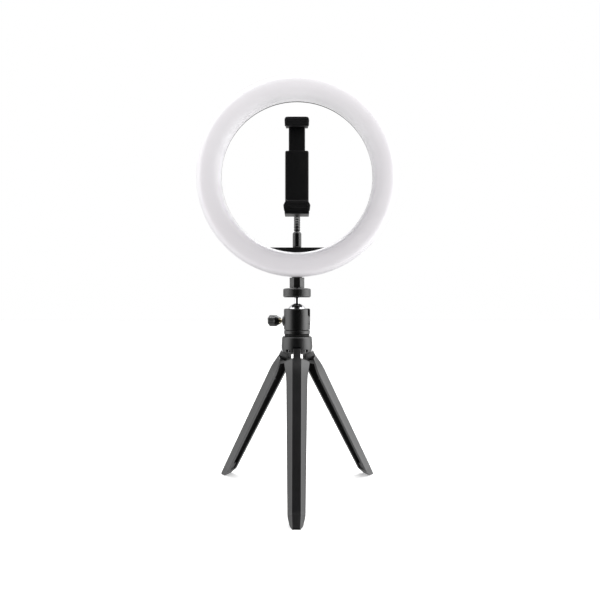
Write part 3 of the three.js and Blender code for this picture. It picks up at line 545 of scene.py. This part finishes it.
def ring_fixings():
    housing = to_mesh("pan_screw_large", pan_screw(SCREW_R, 0.65), "steel")
    for i in range(SCREW_COUNT):
        x, z = on_circle(SCREW_CIRCLE, i * 360 / SCREW_COUNT)
        at = stand(x, RING_BACK - 0.1, RING_Z + z) @ TO_Y @ turn(17 * i, "Z")
        add(f"pan_screw_{i + 1}", housing, "steel", "lamp", f"housing_screw_{i + 1}", at)
    small = to_mesh("pan_screw_small", pan_screw(NECK_SCREW_R, 0.6), "steel")
    for i, x in enumerate((-NECK_SCREW_X, NECK_SCREW_X)):
        at = stand(x, RING_BACK - 0.1, NECK_SCREW_Z) @ TO_Y @ turn(25 + 30 * i, "Z")
        add(f"neck_pan_screw_{i + 1}", small, "steel", "lamp", f"neck_screw_{i + 1}", at)
    bore, flange = 1.7, 3.4
    profile = soften([(bore, -2.3), (GLAND_R, -2.3), (GLAND_R, GAP, 0), (flange, GAP), (flange, 1.6),
                      (2.7, 2.0), (2.9, 2.5), (2.5, 2.8), (2.7, 3.3), (2.3, 4), (bore, 4)], 0.2, closed=True)
    x, z = on_circle(SCREW_CIRCLE, GLAND_ANGLE)
    bm = shifted(placed(lathe(profile, SMALL, loop=True), TO_Y), y=RING_BACK)
    add("cord_grommet", bm, "rubber", "lamp", "cable_gland", stand(x, 0, RING_Z + z))


def neck():
    corner = NECK_FLAT / math.cos(math.pi / 8)
    octagon = [on_circle(corner, 22.5 + 45 * i) for i in range(8)]
    body = slab(soften(octagon, 0.5, closed=True), NECK_LOW, NECK_TOP, 0.35)
    tenon = block((-TENON_HALF, TENON_FRONT, NECK_TOP - 1), (TENON_HALF, TENON_BACK, TENON_TOP), 0.4, 0.3)
    bore = rod(NECK_BORE, NECK_LOW - 1, NECK_BORE_TOP)
    add("neck_block", combine(body, joined=[tenon], cut=[bore]), "plastic", "lamp", "neck")


# ---- ball head ------------------------------------------------------------------------------------

HEAD_PLACE = stand() @ Matrix.Rotation(HEAD_TURN, 4, "Z")


def platform():
    ridges = 66
    low, high = DISC_LOW + 1.0, DISC_TOP - 0.9

    def knurled(radius, angle, height):
        if radius < DISC_R - 1 or not low < height < high:
            return radius
        phase = (angle * ridges / (2 * math.pi)) % 1
        rise = min(1, (height - low) / 0.5, (high - height) / 0.5)
        return radius - KNURL * rise * abs(2 * phase - 1) ** 1.5

    side = [(DISC_R, low + (high - low) * i / 12) for i in range(13)]
    profile = [
        *soften([(DISC_BORE, DISC_LOW), (DISC_R - 1.3, DISC_LOW, 0.3), (DISC_R - 0.5, DISC_LOW + 0.6, 0.2),
                 (DISC_R, low)], 0.2),
        *side,
        *soften([(DISC_R, high), (DISC_R - 0.5, DISC_TOP - 0.4), (DISC_R - 1.2, DISC_TOP), (PAD_R, DISC_TOP),
                 (PAD_R, DISC_TOP - 1.2), (DISC_BORE, DISC_TOP - 1.2)], 0.15),
    ]
    disc = lathe(profile, 4 * ridges, loop=True, shape=knurled)
    add("knurled_disc", disc, "anodised", "lamp", "platform_disc")
    low, groove, edge = PAD_TOP - 1.25, PAD_TOP - 0.25, PAD_R - 0.3
    rings = []
    for i in range(8):
        radius = DISC_BORE + 0.2 + i
        rings += [(radius, PAD_TOP), (radius + 0.5, PAD_TOP), (radius + 0.6, groove), (radius + 0.9, groove)]
    pad = [(DISC_BORE, low), *rings, (edge - 0.2, PAD_TOP - 0.05), (edge, PAD_TOP - 0.3), (edge, low)]
    add("grip_pad", lathe(pad, TURNED, loop=True), "rubber", "lamp", "platform_pad")


def ball_stem():
    profile = [
        *arc(HEAD_BALL_R, BALL_Z, -90, 74, 40),
        *soften([(STEM_R + 0.1, BALL_Z + HEAD_BALL_R - 0.35), (STEM_R, BALL_Z + HEAD_BALL_R - 0.1, 0.2),
                 (STEM_R, STEM_TOP), (0, STEM_TOP)], 0.3),
    ]
    add("chrome_ball", lathe(profile), "chrome", "ball", "ball_stem")


def head_housing():
    top_angle = math.degrees(math.asin((HEAD_TOP - BALL_Z) / SOCKET_R))
    bore = SPIGOT_R + GAP
    profile = [
        *soften([(bore, HEAD_LOW), (HEAD_R - 0.2, HEAD_LOW, 0.25), (HEAD_R, HEAD_LOW + 0.7, 0.2),
                 (HEAD_R, HEAD_TOP - 0.9, 0.25), (HEAD_R - 0.9, HEAD_TOP, 0.25),
                 (SOCKET_R - 0.1, HEAD_TOP)], 0.3),
        *arc(SOCKET_R, BALL_Z, top_angle, 0, 6), (SOCKET_R, CHAMBER_FLOOR), (bore, CHAMBER_FLOOR),
    ]
    boss = lathe(soften([(0, 11), (5.3, 11), (5.3, 14.2), (3.2, 14.2), (3.0, 13.7), (0, 13.7)], 0.35), SMALL)
    boss = placed(boss, TO_LEFT, Matrix.Translation((0, 0, LOCK_Z)))
    chamber = rod(SOCKET_R, CHAMBER_FLOOR, BALL_Z, TURNED)
    top, root = HEAD_TOP + 3, BALL_Z - NOTCH
    outline = soften([(-NOTCH, top), (-NOTCH, root, NOTCH * 0.98), (NOTCH, root, NOTCH * 0.98), (NOTCH, top)],
                     0, closed=True)
    notch = placed(slab(outline, 5, 16), SIDEWAYS)
    holes = [placed(rod(2.1, 8, 16), TO_LEFT, Matrix.Translation((0, 0, LOCK_Z))),
             placed(rod(1.8, 8, 16), TO_RIGHT, Matrix.Translation((0, 0, GRUB_Z)))]
    boss = combine(boss, cut=[chamber])
    bm = combine(lathe(profile, TURNED, loop=True), joined=[boss], cut=[notch, *holes])
    add("housing_body", bm, "anodised", "head", "head_housing", HEAD_PLACE)


def head_base():
    bore, rim = BOLT_BORE + 0.1, HEAD_R - 0.1
    profile = soften([
        (bore, BASE_LOW), (rim - 0.4, BASE_LOW, 0.3), (rim, BASE_LOW + 0.5, 0.2), (rim, BASE_TOP - 0.3, 0.2),
        (rim - 0.3, BASE_TOP, 0.2), (SPIGOT_R, BASE_TOP), (SPIGOT_R, SPIGOT_TOP), (0, SPIGOT_TOP, 0),
        (0, RECESS_TOP, 0), (bore, RECESS_TOP),
    ], 0.1)
    add("pan_base", lathe(profile, loop=True), "anodised", "tripod", "head_base")


def lock_pieces():
    place = HEAD_PLACE @ Matrix.Translation((0, 0, LOCK_Z * MM)) @ TO_LEFT
    pitch, depth, core, rim = 0.8, 0.22, 1.8, 2.75

    def threaded(radius, angle, height):
        if not THREAD_START + 0.1 < height < THREAD_END or radius > core + 0.2:
            return radius
        phase = (height / pitch - angle / (2 * math.pi)) % 1
        return radius - depth * abs(2 * phase - 1)

    shank = [(core, height) for height in spread(THREAD_START, THREAD_END, 96)]
    low, high, end = THREAD_END + 0.01, THREAD_END + 0.7, THREAD_END + 3.2
    collar = soften([(core, low), (rim, low), (rim, high), (core, high), (core, end), (0, end)], 0.15)
    screw = lathe([(0, 7.8), (0.9, 7.8), *shank, *collar[1:]], SMALL, shape=threaded)
    add("brass_screw", screw, "brass", "lock", "lock_screw", place)

    def lobed(radius, angle, height):
        share = min(1, max(0, (height - 21.6) / 1.4)) * min(1, max(0, (radius - 3) / 1.5))
        return radius - share * (0.5 - 0.5 * math.cos(6 * angle)) ** 1.4

    grip = soften([(2.2, KNOB_START), (3.3, 17.9, 0.3), (3.9, 19.4, 0.6), (4.9, 21.6, 0.5), (5.6, 22.2, 0.5),
                   (5.7, KNOB_END - 1, 0.6), (5.1, KNOB_END, 0.4), (2.4, KNOB_END, 0.3),
                   (1.9, KNOB_END - 0.5, 0.3), (0, KNOB_END - 0.5)], 0.3)
    dense = [grip[0]]
    for point in grip[1:]:
        gap = point[1] - dense[-1][1]
        parts = max(1, round(abs(gap) / 0.5))
        start = dense[-1]
        dense += [tuple(Vector(start).lerp(Vector(point), k / parts)) for k in range(1, parts + 1)]
    knob = lathe([(0, KNOB_START), *dense], 120, shape=lobed)
    add("lobed_knob", knob, "plastic", "lock", "lock_knob", place)


def grub_screw():
    hexagon = [on_circle(0.75, 60 * i) for i in range(6)]
    body = lathe(soften([(0, 8.7), (0.9, 8.7), (1.5, 9.3), (1.5, 12.3), (1.2, 12.6), (0, 12.6)], 0.1), SMALL)
    socket = slab(hexagon, 11.0, 13.5)
    place = HEAD_PLACE @ Matrix.Translation((0, 0, GRUB_Z * MM)) @ TO_RIGHT
    add("hex_grub", combine(body, cut=[socket]), "steel", "head", "grub_screw", place)


# ---- phone holder ---------------------------------------------------------------------------------


def sleeve():
    foot_z, stud, shelf, top = WEB_TOP - 8.4, 2.4, WEB_TOP + GAP, SLEEVE_TOP - 0.35
    profile = soften([(0, foot_z), (stud, foot_z), (stud, shelf, 0), (SLEEVE_R - 0.3, shelf),
                      (SLEEVE_R, WEB_TOP + 0.9), (SLEEVE_R, top - 1.85, 0.3), (SLEEVE_R - 1.2, top, 0.3),
                      (0, top)], 0.15)
    add("holder_socket", lathe(profile), "glossy", "lamp", "holder_sleeve", stand(y=HOLDER_Y))


FERRULE_END = STUD_Y + 14.5
STRAIGHT = (
    FERRULE_END - HOLDER_Y - LOW_BEND * (1 - math.cos(GOOSE_LEAN)) + HIGH_BEND * math.cos(GOOSE_LEAN)
) / math.sin(GOOSE_LEAN)
BENDS = (LOW_BEND * GOOSE_LEAN, STRAIGHT, HIGH_BEND * (GOOSE_LEAN + math.pi / 2))


def goose_point(along):
    """The gooseneck's centre line, and the way it heads there as an angle back from upright."""
    first = min(along, BENDS[0]) / LOW_BEND
    middle = min(max(along - BENDS[0], 0), BENDS[1])
    last = max(along - BENDS[0] - BENDS[1], 0) / HIGH_BEND
    y = LOW_BEND * (1 - math.cos(first)) + middle * math.sin(GOOSE_LEAN) \
        + HIGH_BEND * (math.cos(GOOSE_LEAN - last) - math.cos(GOOSE_LEAN))
    z = LOW_BEND * math.sin(first) + middle * math.cos(GOOSE_LEAN) \
        + HIGH_BEND * (math.sin(GOOSE_LEAN) - math.sin(GOOSE_LEAN - last))
    return Vector((0, HOLDER_Y + y, SLEEVE_TOP + z)), first - last


GOOSE_LENGTH = sum(BENDS)
JOINT_Z = goose_point(GOOSE_LENGTH)[0].z
CLAMP_PLACE = stand(y=STUD_Y, z=JOINT_Z)


def gooseneck():
    """Six lengths of ribbed flexible tube. Each rib is a raised turn, and domed ends nearly fill the gaps."""
    step = GOOSE_LENGTH / GOOSE_COUNT
    ribs, per_rib = 4, 10
    cap = [(0, 0.24), (1.2, 0.19), (2.1, 0.09), (2.5, 0)]  # radius, and height beyond the length's end
    for index in range(GOOSE_COUNT):
        start = index * step + GOOSE_GAP / 2
        span = step - GOOSE_GAP
        profile = [(start - rise, radius) for radius, rise in cap]
        for i in range(ribs * per_rib + 1):
            share = i / (ribs * per_rib)
            valley = 1 - abs(math.sin(math.pi * ribs * share)) ** 0.7
            profile.append((start + span * share, GOOSE_R - 0.55 * valley))
        profile += [(start + span + rise, radius) for radius, rise in cap[::-1]]
        rings = []
        for along, radius in profile:
            centre, heading = goose_point(along)
            out = Vector((0, math.cos(heading), -math.sin(heading)))
            ring = [tuple(centre + radius * (math.cos(a) * Vector((1, 0, 0)) + math.sin(a) * out))
                    for a in (2 * math.pi * k / SMALL for k in range(SMALL))]
            rings.append(ring if radius else [tuple(centre)])
        name = f"gooseneck_{index + 1}"
        add(f"ribbed_length_{index + 1}", skin(rings), "anodised", name, name)


def ball_joint():
    end = FERRULE_END - STUD_Y
    last = end - GOOSE_GAP / 2
    ferrule = [(STUD_R, BALL_R + 0.2), (STUD_R, end - 6), (FERRULE_R - 0.1, end - 6), (FERRULE_R, end - 5.2),
               (FERRULE_R, end - 1.0, 0.2), (FERRULE_R - 0.9, last), (0, last)]
    stud = placed(lathe([*arc(BALL_R, 0, -90, 64, 24), *soften(ferrule, 0.25)], 64), TO_Y)
    add("steel_ball_stud", stud, "steel", "gooseneck_6", "ball_stud", CLAMP_PLACE)
    inner = arc(BALL_R + 0.25, 0, 44, 22, 5)
    back, side, rim = 7.9, 9.4, 4.9
    outer = [(back, -4.6), (side - 0.2, -4.6), (side, -4.2), (side, 2.4), (8.1, rim),
             (inner[0][0] + 0.9, rim)]
    profile = [*soften(outer, 0.3), *inner, (back, inner[-1][1])]
    dense = []
    for a, b in zip(profile, [*profile[1:], profile[0]]):
        parts = max(1, round((Vector(b) - Vector(a)).length / 0.7))
        dense += [tuple(Vector(a).lerp(Vector(b), k / parts)) for k in range(parts)]

    def fluted(radius, angle, height):
        if radius < 8.9:
            return radius
        return radius - 0.45 * (0.5 + 0.5 * math.cos(24 * angle)) ** 3 * min(1, max(0, (radius - 8.9) / 0.4))

    nut = placed(lathe(dense, 192, loop=True, shape=fluted), TO_Y)
    add("fluted_nut", nut, "plastic", "clamp_nut", "clamp_nut", CLAMP_PLACE)


def grooves(width, first, radius=0.42, pitch=1.6, count=4):
    """Rods along X that cut fine grooves in a lip's front face."""
    rods = (placed(rod(radius, -width, width, 12), TO_RIGHT) for _ in range(count))
    return [shifted(bm, 0, LIP_FRONT - radius * 0.3, first + pitch * k) for k, bm in enumerate(rods)]


def clamp_body():
    half = [(10.2, CLAMP_LOW, 1.6), (12.3, CLAMP_LOW + 3.2, 2), (12.95, CLAMP_LOW + 8.2, 1.5),
            (10.6, CLAMP_LOW + 12.9, 1.2)]
    lip = [*half, *((-x, z, corner) for x, z, corner in half[::-1])]
    lip_plate = placed(slab(soften(lip, 1, closed=True), LIP_FRONT, LIP_FRONT + LIP_THICK, 0.6), UPRIGHT)
    face = rectangle((-CLAMP_HALF, CLAMP_LOW + 1), (CLAMP_HALF, CLAMP_TOP), 2.0)
    block_plate = placed(slab(face, CLAMP_FRONT, CLAMP_BACK, 1.0), UPRIGHT)
    shelf = rectangle((LIP_FRONT + 0.5, CLAMP_LOW), (CLAMP_BACK, CLAMP_FLOOR), 0.9)
    shelf = placed(slab(shelf, -SHELF_HALF, SHELF_HALF, 0.6), SIDEWAYS)
    cup_r, cup_low, cup_top, cup = 7.5, CLAMP_BACK - 0.1, 1.2, BALL_R + 0.25
    socket = lathe([*soften([(0, cup_low), (cup_r, cup_low), (cup_r, cup_top), (5.1, cup_top)], 0.25),
                    *arc(cup, 0, 13, -89, 10), (0, -cup)], 64)
    socket = placed(socket, TO_Y)
    side = BAR_HALF + GAP
    low, high = (-side, BAR_FRONT - GAP, CLAMP_FLOOR + 4), (side, BAR_BACK + GAP, CLAMP_TOP + 1)
    channel = block(low, high, 0.2, 0.1)
    front, low = LIP_FRONT - 0.5, CLAMP_LOW - 0.5
    chamfer = placed(slab([(front, low), (front + 2, low), (front, low + 3.9)], -15, 15), SIDEWAYS)
    bm = combine(block_plate, joined=[shelf, lip_plate, socket],
                 cut=[channel, chamfer, *grooves(10, CLAMP_LOW + 5.6)])
    add("clamp_shell", bm, "plastic", "clamp", "clamp_body", CLAMP_PLACE)


def sliding_jaw():
    low = JAW_TOP - 9
    lip = [(-11.5, low), (11.5, low), (12, JAW_TOP, 3.4), (-12, JAW_TOP, 3.4)]
    plate = placed(slab(soften(lip, 1, closed=True), LIP_FRONT, LIP_FRONT + LIP_THICK, 0.6), UPRIGHT)
    roof = rectangle((LIP_FRONT + 0.5, ROOF), (CLAMP_BACK, JAW_TOP), 1.0)
    roof = placed(slab(roof, -JAW_HALF, JAW_HALF, 0.8), SIDEWAYS)
    bar_low = ROOF - BAR_LENGTH
    bar = block((-BAR_HALF, BAR_FRONT, bar_low), (BAR_HALF, BAR_BACK, ROOF + 1), 0.8, 0.4)
    bore = shifted(rod(2.2, bar_low - 1, ROOF - 8), y=BAR_MID)
    track = [block((x, BAR_BACK - 0.5, bar_low + 6), (x + 1.6, BAR_BACK + 1, ROOF - 4), 0.3, 0.1)
             for x in (-5.2, 3.6)]
    bm = combine(plate, joined=[roof, bar], cut=[bore, *track, *grooves(9.6, low + 1.6)])
    add("jaw_shell", bm, "plastic", "jaw", "sliding_jaw", CLAMP_PLACE)


def jaw_pads():
    front, back = LIP_FRONT + LIP_THICK + GAP, CLAMP_FRONT - GAP
    count = 6
    for name, base, top, body in (("lower", CLAMP_FLOOR + 0.05, CLAMP_FLOOR + PAD, "clamp"),
                                  ("upper", ROOF - 0.05, ROOF - PAD, "jaw")):
        sign = 1 if top > base else -1
        ridges = []
        for i in range(count):
            width = (back - front) / count
            start = back - width * i
            ridges += [(start - 0.12 * width, top), (start - 0.72 * width, top),
                       (start - 0.86 * width, top - sign * 0.5)]
        outline = soften([(front, base), (back, base), *ridges], 0.12, closed=True)
        bm = placed(slab(outline, -PAD_HALF, PAD_HALF, 0.25), SIDEWAYS)
        add(f"{name}_grip", bm, "rubber", body, f"{name}_jaw_pad", CLAMP_PLACE)


def jaw_spring():
    """The coil in the bar's bore, drawn at one length on a mesh of its own. The real coil shortens as the jaw
    comes down.
    """
    low, high = CLAMP_FLOOR + 7.6, ROOF - 8.6
    coil, wire, turns, per_turn, sides = 1.45, 0.35, 14, 16, 8
    pitch = (high - low) / turns
    rings = []
    for i in range(turns * per_turn + 1):
        angle = 2 * math.pi * i / per_turn
        out = Vector((math.cos(angle), math.sin(angle), 0))
        along = Vector((-coil * out.y, coil * out.x, pitch / (2 * math.pi))).normalized()
        centre = out * coil + Vector((0, BAR_MID, low + pitch * i / per_turn))
        up = along.cross(out)
        rings.append([tuple(centre + wire * (math.cos(a) * out + math.sin(a) * up))
                      for a in (2 * math.pi * k / sides for k in range(sides))])
    piece = add("coil_spring", skin(rings), "steel", "clamp", "jaw_spring", CLAMP_PLACE)
    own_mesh(piece)


# ---- tripod ---------------------------------------------------------------------------------------


def crown():
    profile = soften([
        (0, CROWN_LOW), (13.2, CROWN_LOW, 0.8), (14.7, CROWN_LOW + 2, 1.5), (15.4, CROWN_LOW + 4.6, 2.5),
        (15.5, CROWN_LOW + 7.4, 2.5), (15.2, CROWN_LOW + 11, 3), (14.9, CROWN_TOP - 1, 0.5),
        (14.1, CROWN_TOP, 0.4), (0, CROWN_TOP),
    ], 0.3)
    cuts = [rod(5.6, CROWN_LOW - 1, CROWN_LOW + 4.2), rod(BOLT_BORE, CROWN_LOW, CROWN_TOP + 1)]
    below, roof, half = CROWN_LOW - 1, HINGE_Z + KNUCKLE + 0.4, TONGUE + 0.4
    outline = soften([(-half, below, 0), (half, below, 0), (half, roof), (-half, roof)], 0.9, closed=True)
    for degrees in SIDES.values():
        slot = placed(slab(outline, 6.3, 20), SIDEWAYS)
        hole = shifted(placed(rod(PIN_R + GAP, -12, 12, 24), TO_Y), HINGE_R, 0, HINGE_Z)
        cuts += [placed(slot, turn(degrees, "Z")), placed(hole, turn(degrees, "Z"))]
    add("crown_hub", combine(lathe(profile), cut=cuts), "plastic", "tripod", "crown")
    washer = rectangle((BOLT_BORE, WASHER_LOW), (WASHER_R, WASHER_TOP), 0.3)
    add("rubber_washer", lathe(washer, loop=True), "rubber", "tripod", "crown_washer")
    low, high = CROWN_LOW + 0.9, CROWN_LOW + 3.9
    corner = 5.1
    head = slab([on_circle(corner, 30 + 60 * i) for i in range(6)], low, high)
    chamfer = lathe([(0, low - 1), (3.4, low - 1), (corner + 0.1, low + 0.6), (corner + 0.1, high + 1),
                     (0, high + 1)], SMALL)
    head = combine(head, kept=[chamfer])
    add("hex_bolt", combine(head, joined=[rod(3, high - 0.5, BOLT_TOP)]), "steel", "tripod", "crown_bolt")


def leg_section(along):
    """The leg's outer and inner faces and half the width of each, at a distance below the hinge."""
    below = along - SHOULDER
    down = below / (LEG_END - SHOULDER)
    flare = math.exp(-((below / FLARE_RUN) ** 2))
    swell = LEG_SWELL * (1 - math.exp(-((below / SWELL_RUN) ** 2)))
    deep, outer_half, inner_half = (top + more * down for top, more in (LEG_DEEP, OUTER_HALF, INNER_HALF))
    inner = LEG_OUTER - deep + FLARE_DEEP * flare
    return LEG_OUTER + swell, inner, outer_half, inner_half + FLARE_WIDE * flare


def trapezoid(along, outer, inner, outer_half, inner_half, corner):
    """A four-sided section with softened corners, at a distance below the hinge."""
    points = [(outer, -outer_half), (outer, outer_half), (inner, inner_half), (inner, -inner_half)]
    return [(x, y, -along) for x, y in soften(points, corner, closed=True)]


def leg_bar():
    """The leg's outer form, its shoulders rounded off at the top."""
    rings = []
    rounding = 3.0
    for along in [*spread(SHOULDER, SHOULDER + rounding, 8), *spread(SHOULDER + rounding + 1, LEG_END, 60)]:
        outer, inner, outer_half, inner_half = leg_section(along)
        near = max(0, 1 - (along - SHOULDER) / rounding)
        drawn = rounding * (1 - math.sqrt(1 - near * near))
        rings.append(trapezoid(along, outer - drawn * 0.2, inner + drawn * 0.4, outer_half - drawn * 0.2,
                               inner_half - drawn, 0.55))
    return skin(rings)


def hollow(along):
    """The section of the leg's hollow, inside its walls and open at the inner face."""
    outer, inner, outer_half, inner_half = leg_section(along)
    return outer - LEG_FLOOR, inner - 0.5, outer_half - 1.2, inner_half - LEG_WALL


def pocket(start, end):
    return skin([trapezoid(along, *hollow(along), 0.7) for along in spread(start, end, 6)])


def mouth(start, end):
    """The hollow's mouth, which the ribs stay below."""
    rings = []
    depth = RIB_DROP + 0.5
    for along in spread(start, end, 40):
        outer, inner, outer_half, inner_half = hollow(along)
        half = inner_half + (outer_half - inner_half) * depth / (outer - inner)
        rings.append(trapezoid(along, inner + depth, inner, half, inner_half, 0.5))
    return skin(rings)


def tongue():
    """The hinge tongue: a round knuckle, with a heel that meets the crown when the leg is open."""
    heel = HEEL_ANGLE - math.degrees(LEG_OPEN)
    reach = (KNUCKLE + 0.25) / math.sin(math.radians(HEEL_ANGLE))
    knuckle = [on_circle(KNUCKLE, angle) for angle in spread(heel + 30, 190, 12)]
    front = [on_circle(KNUCKLE, angle) for angle in spread(0, heel - 30, 3)]
    tip = on_circle(reach, heel)
    outline = [*knuckle, (-5.2, -2), (-7.6, -7), (-7.6, -SHOULDER - 1), (-2, -SHOULDER - 2),
               (LEG_OUTER - 0.05, -SHOULDER - 2), (LEG_OUTER - 0.1, -3), *front, tip]
    return placed(slab(outline, -TONGUE, TONGUE, 0.35), UPRIGHT)


def foot():
    """A boot whose sole lies flat on the floor when the leg is open, and the tenon that holds it."""
    sine, cosine = math.sin(LEG_OPEN), math.cos(LEG_OPEN)

    def floor_at(x):
        return -(HINGE_Z + x * sine) / cosine

    outer, inner, outer_half, inner_half = leg_section(LEG_END)
    rings = []
    for along in spread(LEG_END + 0.05, FOOT_TIP + 1, 24):
        down = (along - LEG_END) / (FOOT_TIP - LEG_END)
        rings.append(trapezoid(along, outer, inner, outer_half - 0.6 * down, inner_half - 2 * down, 0.6))
    toe = outer - TOE
    heel = toe - SOLE
    side = [(outer + 1, -LEG_END + 1, 0), (inner - 1, -LEG_END + 1, 0), (inner - 1, -LEG_END - 0.9, 0),
            (inner, -LEG_END - 1, 0.4), (heel, floor_at(heel), 0.5), (toe, floor_at(toe), 0.8),
            (outer, floor_at(outer) + 2 * TOE, 0.9), (outer, -LEG_END - 8, 0.9),
            (outer + 1, -LEG_END - 7.5, 0)]
    cutter = placed(slab(soften(side, 0.4, closed=True), -12, 12), UPRIGHT)
    outside, inside, outside_half, inside_half = hollow(LEG_END)
    tenon = skin([trapezoid(along, outside - GAP, inside + 1.6, outside_half - GAP, inside_half - 1.2, 0.5)
                  for along in (LEG_END - TENON, LEG_END + 1)])
    body = combine(skin(rings), kept=[cutter])
    return combine(body, joined=[tenon])


def legs():
    first = SHOULDER + 5
    step = (LEG_END + RIB - first) / POCKETS
    cuts = [placed(rod(PIN_R + GAP, -6, 6, 24), TO_Y), mouth(first, LEG_END + 1)]
    for i in range(POCKETS):
        start = first + i * step
        cuts.append(pocket(start, LEG_END + 1 if i == POCKETS - 1 else start + step - RIB))
    bar = to_mesh("leg_bar", combine(leg_bar(), joined=[tongue()], cut=cuts), "plastic")
    boot = to_mesh("foot_boot", foot(), "boot")
    pin = lathe(soften([(0, -PIN_END), (PIN_R, -PIN_END), (PIN_R, PIN_END), (0, PIN_END)], 0.3), SMALL)
    pin = to_mesh("hinge_pin", placed(pin, TO_Y), "steel")
    for side, degrees in SIDES.items():
        hinge = stand() @ turn(degrees, "Z") @ Matrix.Translation((HINGE_R * MM, 0, HINGE_Z * MM))
        swung = hinge @ Matrix.Rotation(-LEG_OPEN, 4, "Y")
        add(f"{side}_leg_bar", bar, "plastic", f"{side}_leg", f"{side}_leg", swung)
        add(f"{side}_foot_boot", boot, "boot", f"{side}_leg", f"{side}_foot", swung)
        add(f"{side}_pivot", pin, "steel", "tripod", f"{side}_hinge_pin", hinge)


# ---- inner pieces, which keep their CAD shapes ----------------------------------------------------


def inner_pieces():
    finishes = {
        "led_board": "white", "ball_seat": "white", "lead_wire": "red", "holder_insert": "brass",
        "neck_insert": "brass", "mount_screw": "steel", "retaining_ring": "steel", "spring_pin": "steel",
    }
    for name, finish in finishes.items():
        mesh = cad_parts[name].data
        mesh.materials.clear()
        mesh.materials.append(LOOKS[finish])
        mesh.shade_smooth()
        mesh.set_sharp_from_angle(angle=SMOOTH)


# ---- studio ---------------------------------------------------------------------------------------


SENSOR, LENS = 36, 31.08  # millimetres
CAMERA_RIGHT, CAMERA_BACK, CAMERA_UP = 0.003, 0.518, 0.1886  # metres from the tripod's axis and the floor


def camera():
    data = bpy.data.cameras.new("camera")
    data.sensor_width = SENSOR
    data.lens = LENS
    obj = bpy.data.objects.new("camera", data)
    obj.location = (CAMERA_RIGHT, AXIS_Y - CAMERA_BACK, CAMERA_UP)
    obj.rotation_euler = (math.pi / 2, 0, 0)
    bpy.context.scene.collection.objects.link(obj)
    bpy.context.scene.camera = obj


FLOOR_HALF, FLOOR_GLOW = 4, 0.3


def floor():
    bm = bmesh.new()
    bmesh.ops.create_grid(bm, x_segments=8, y_segments=8, size=FLOOR_HALF)
    mesh = bpy.data.meshes.new("floor")
    bm.to_mesh(mesh)
    bm.free()
    obj = bpy.data.objects.new("floor", mesh)
    bpy.context.scene.collection.objects.link(obj)
    mesh.materials.append(look("pale_floor", (0.88, 0.88, 0.88), (0.9, 0.9, 0.9), (0.55, 0.6), 60.0, 0.0,
                               Emission_Color=(1, 1, 1, 1), Emission_Strength=FLOOR_GLOW))
    obj.visible_diffuse = False
    obj.visible_glossy = False


def area_light(name, at, towards, size, power):
    data = bpy.data.lights.new(name, "AREA")
    data.shape = "RECTANGLE"
    data.size, data.size_y = size
    data.energy = power
    obj = bpy.data.objects.new(name, data)
    obj.location = at
    obj.rotation_euler = (Vector(towards) - Vector(at)).to_track_quat("-Z", "Y").to_euler()
    obj.visible_camera = False
    bpy.context.scene.collection.objects.link(obj)


FRONT_LIGHT, SIDE_LIGHT, REAR_LIGHT, RIGHT_SHARE = 0.02, 2.3, 0.7, 0.25
TOP_WATTS, TOP_BACK, TOP_UP, TOP_SIZE = 12, 0.5, 1.3, 0.9
# Where the light changes, by how far a direction points to the front, and how it grows from below to above.
FRONT_EDGE, REAR_EDGE, LIFT = (0.25, 0.84), (-0.75, -0.1), (0.6, 1.3)
# Beside and before the object the backdrop is a little grey above the horizon, so that white parts show.
BACKDROP_SHADE, SHADE_EDGE, SHADE_HEIGHT = 0.22, (-0.85, -0.3), 0.12


def studio():
    """A white backdrop. Its light is bright at the sides, weaker behind, and dark behind the camera."""
    world = bpy.data.worlds.new("studio")
    bpy.context.scene.world = world
    world.use_nodes = True
    tree = world.node_tree
    out = tree.nodes["Background"]
    ray = node(tree, "ShaderNodeTexCoord").outputs["Generated"]
    flat = vectors(tree, "MULTIPLY", ray, (1, 1, 0))
    way = vectors(tree, "NORMALIZE", flat)
    forward = vectors(tree, "DOT_PRODUCT", way, (0, -1, 0), result="Value")
    across = vectors(tree, "DOT_PRODUCT", way, (1, 0, 0), result="Value")
    height = node(tree, "ShaderNodeSeparateXYZ", {0: ray}).outputs["Z"]
    front = ramp(tree, forward, *FRONT_EDGE, SIDE_LIGHT, FRONT_LIGHT, interpolation_type="SMOOTHSTEP")
    rear = ramp(tree, forward, *REAR_EDGE, REAR_LIGHT, SIDE_LIGHT, interpolation_type="SMOOTHSTEP")
    side = arithmetic(tree, "MINIMUM", front, rear)
    lift = ramp(tree, height, -1.0, 1.0, *LIFT)
    right = ramp(tree, across, -1.0, 1.0, 1 - RIGHT_SHARE, 1 + RIGHT_SHARE)
    lit = arithmetic(tree, "MULTIPLY", side, arithmetic(tree, "MULTIPLY", lift, right))
    aside = ramp(tree, forward, *SHADE_EDGE, 0.0, BACKDROP_SHADE, interpolation_type="SMOOTHSTEP")
    above = ramp(tree, height, 0.0, SHADE_HEIGHT, interpolation_type="SMOOTHSTEP")
    backdrop = arithmetic(tree, "SUBTRACT", 1.0, arithmetic(tree, "MULTIPLY", aside, above))
    seen = node(tree, "ShaderNodeLightPath").outputs["Is Camera Ray"]
    strength = node(tree, "ShaderNodeMix", {0: seen, 2: lit, 3: backdrop}).outputs[0]
    tree.links.new(strength, out.inputs["Strength"])
    out.inputs["Color"].default_value = (1, 1, 1, 1)
    area_light("top_softbox", (0, AXIS_Y + TOP_BACK, TOP_UP), (0, AXIS_Y, 0), (TOP_SIZE, TOP_SIZE), TOP_WATTS)
    bpy.context.scene.view_settings.view_transform = "Standard"


camera()
floor()
studio()
diffuser()
rear_housing()
ring_fixings()
neck()
platform()
ball_stem()
head_housing()
head_base()
lock_pieces()
grub_screw()
sleeve()
gooseneck()
ball_joint()
clamp_body()
sliding_jaw()
jaw_pads()
jaw_spring()
crown()
legs()
inner_pieces()
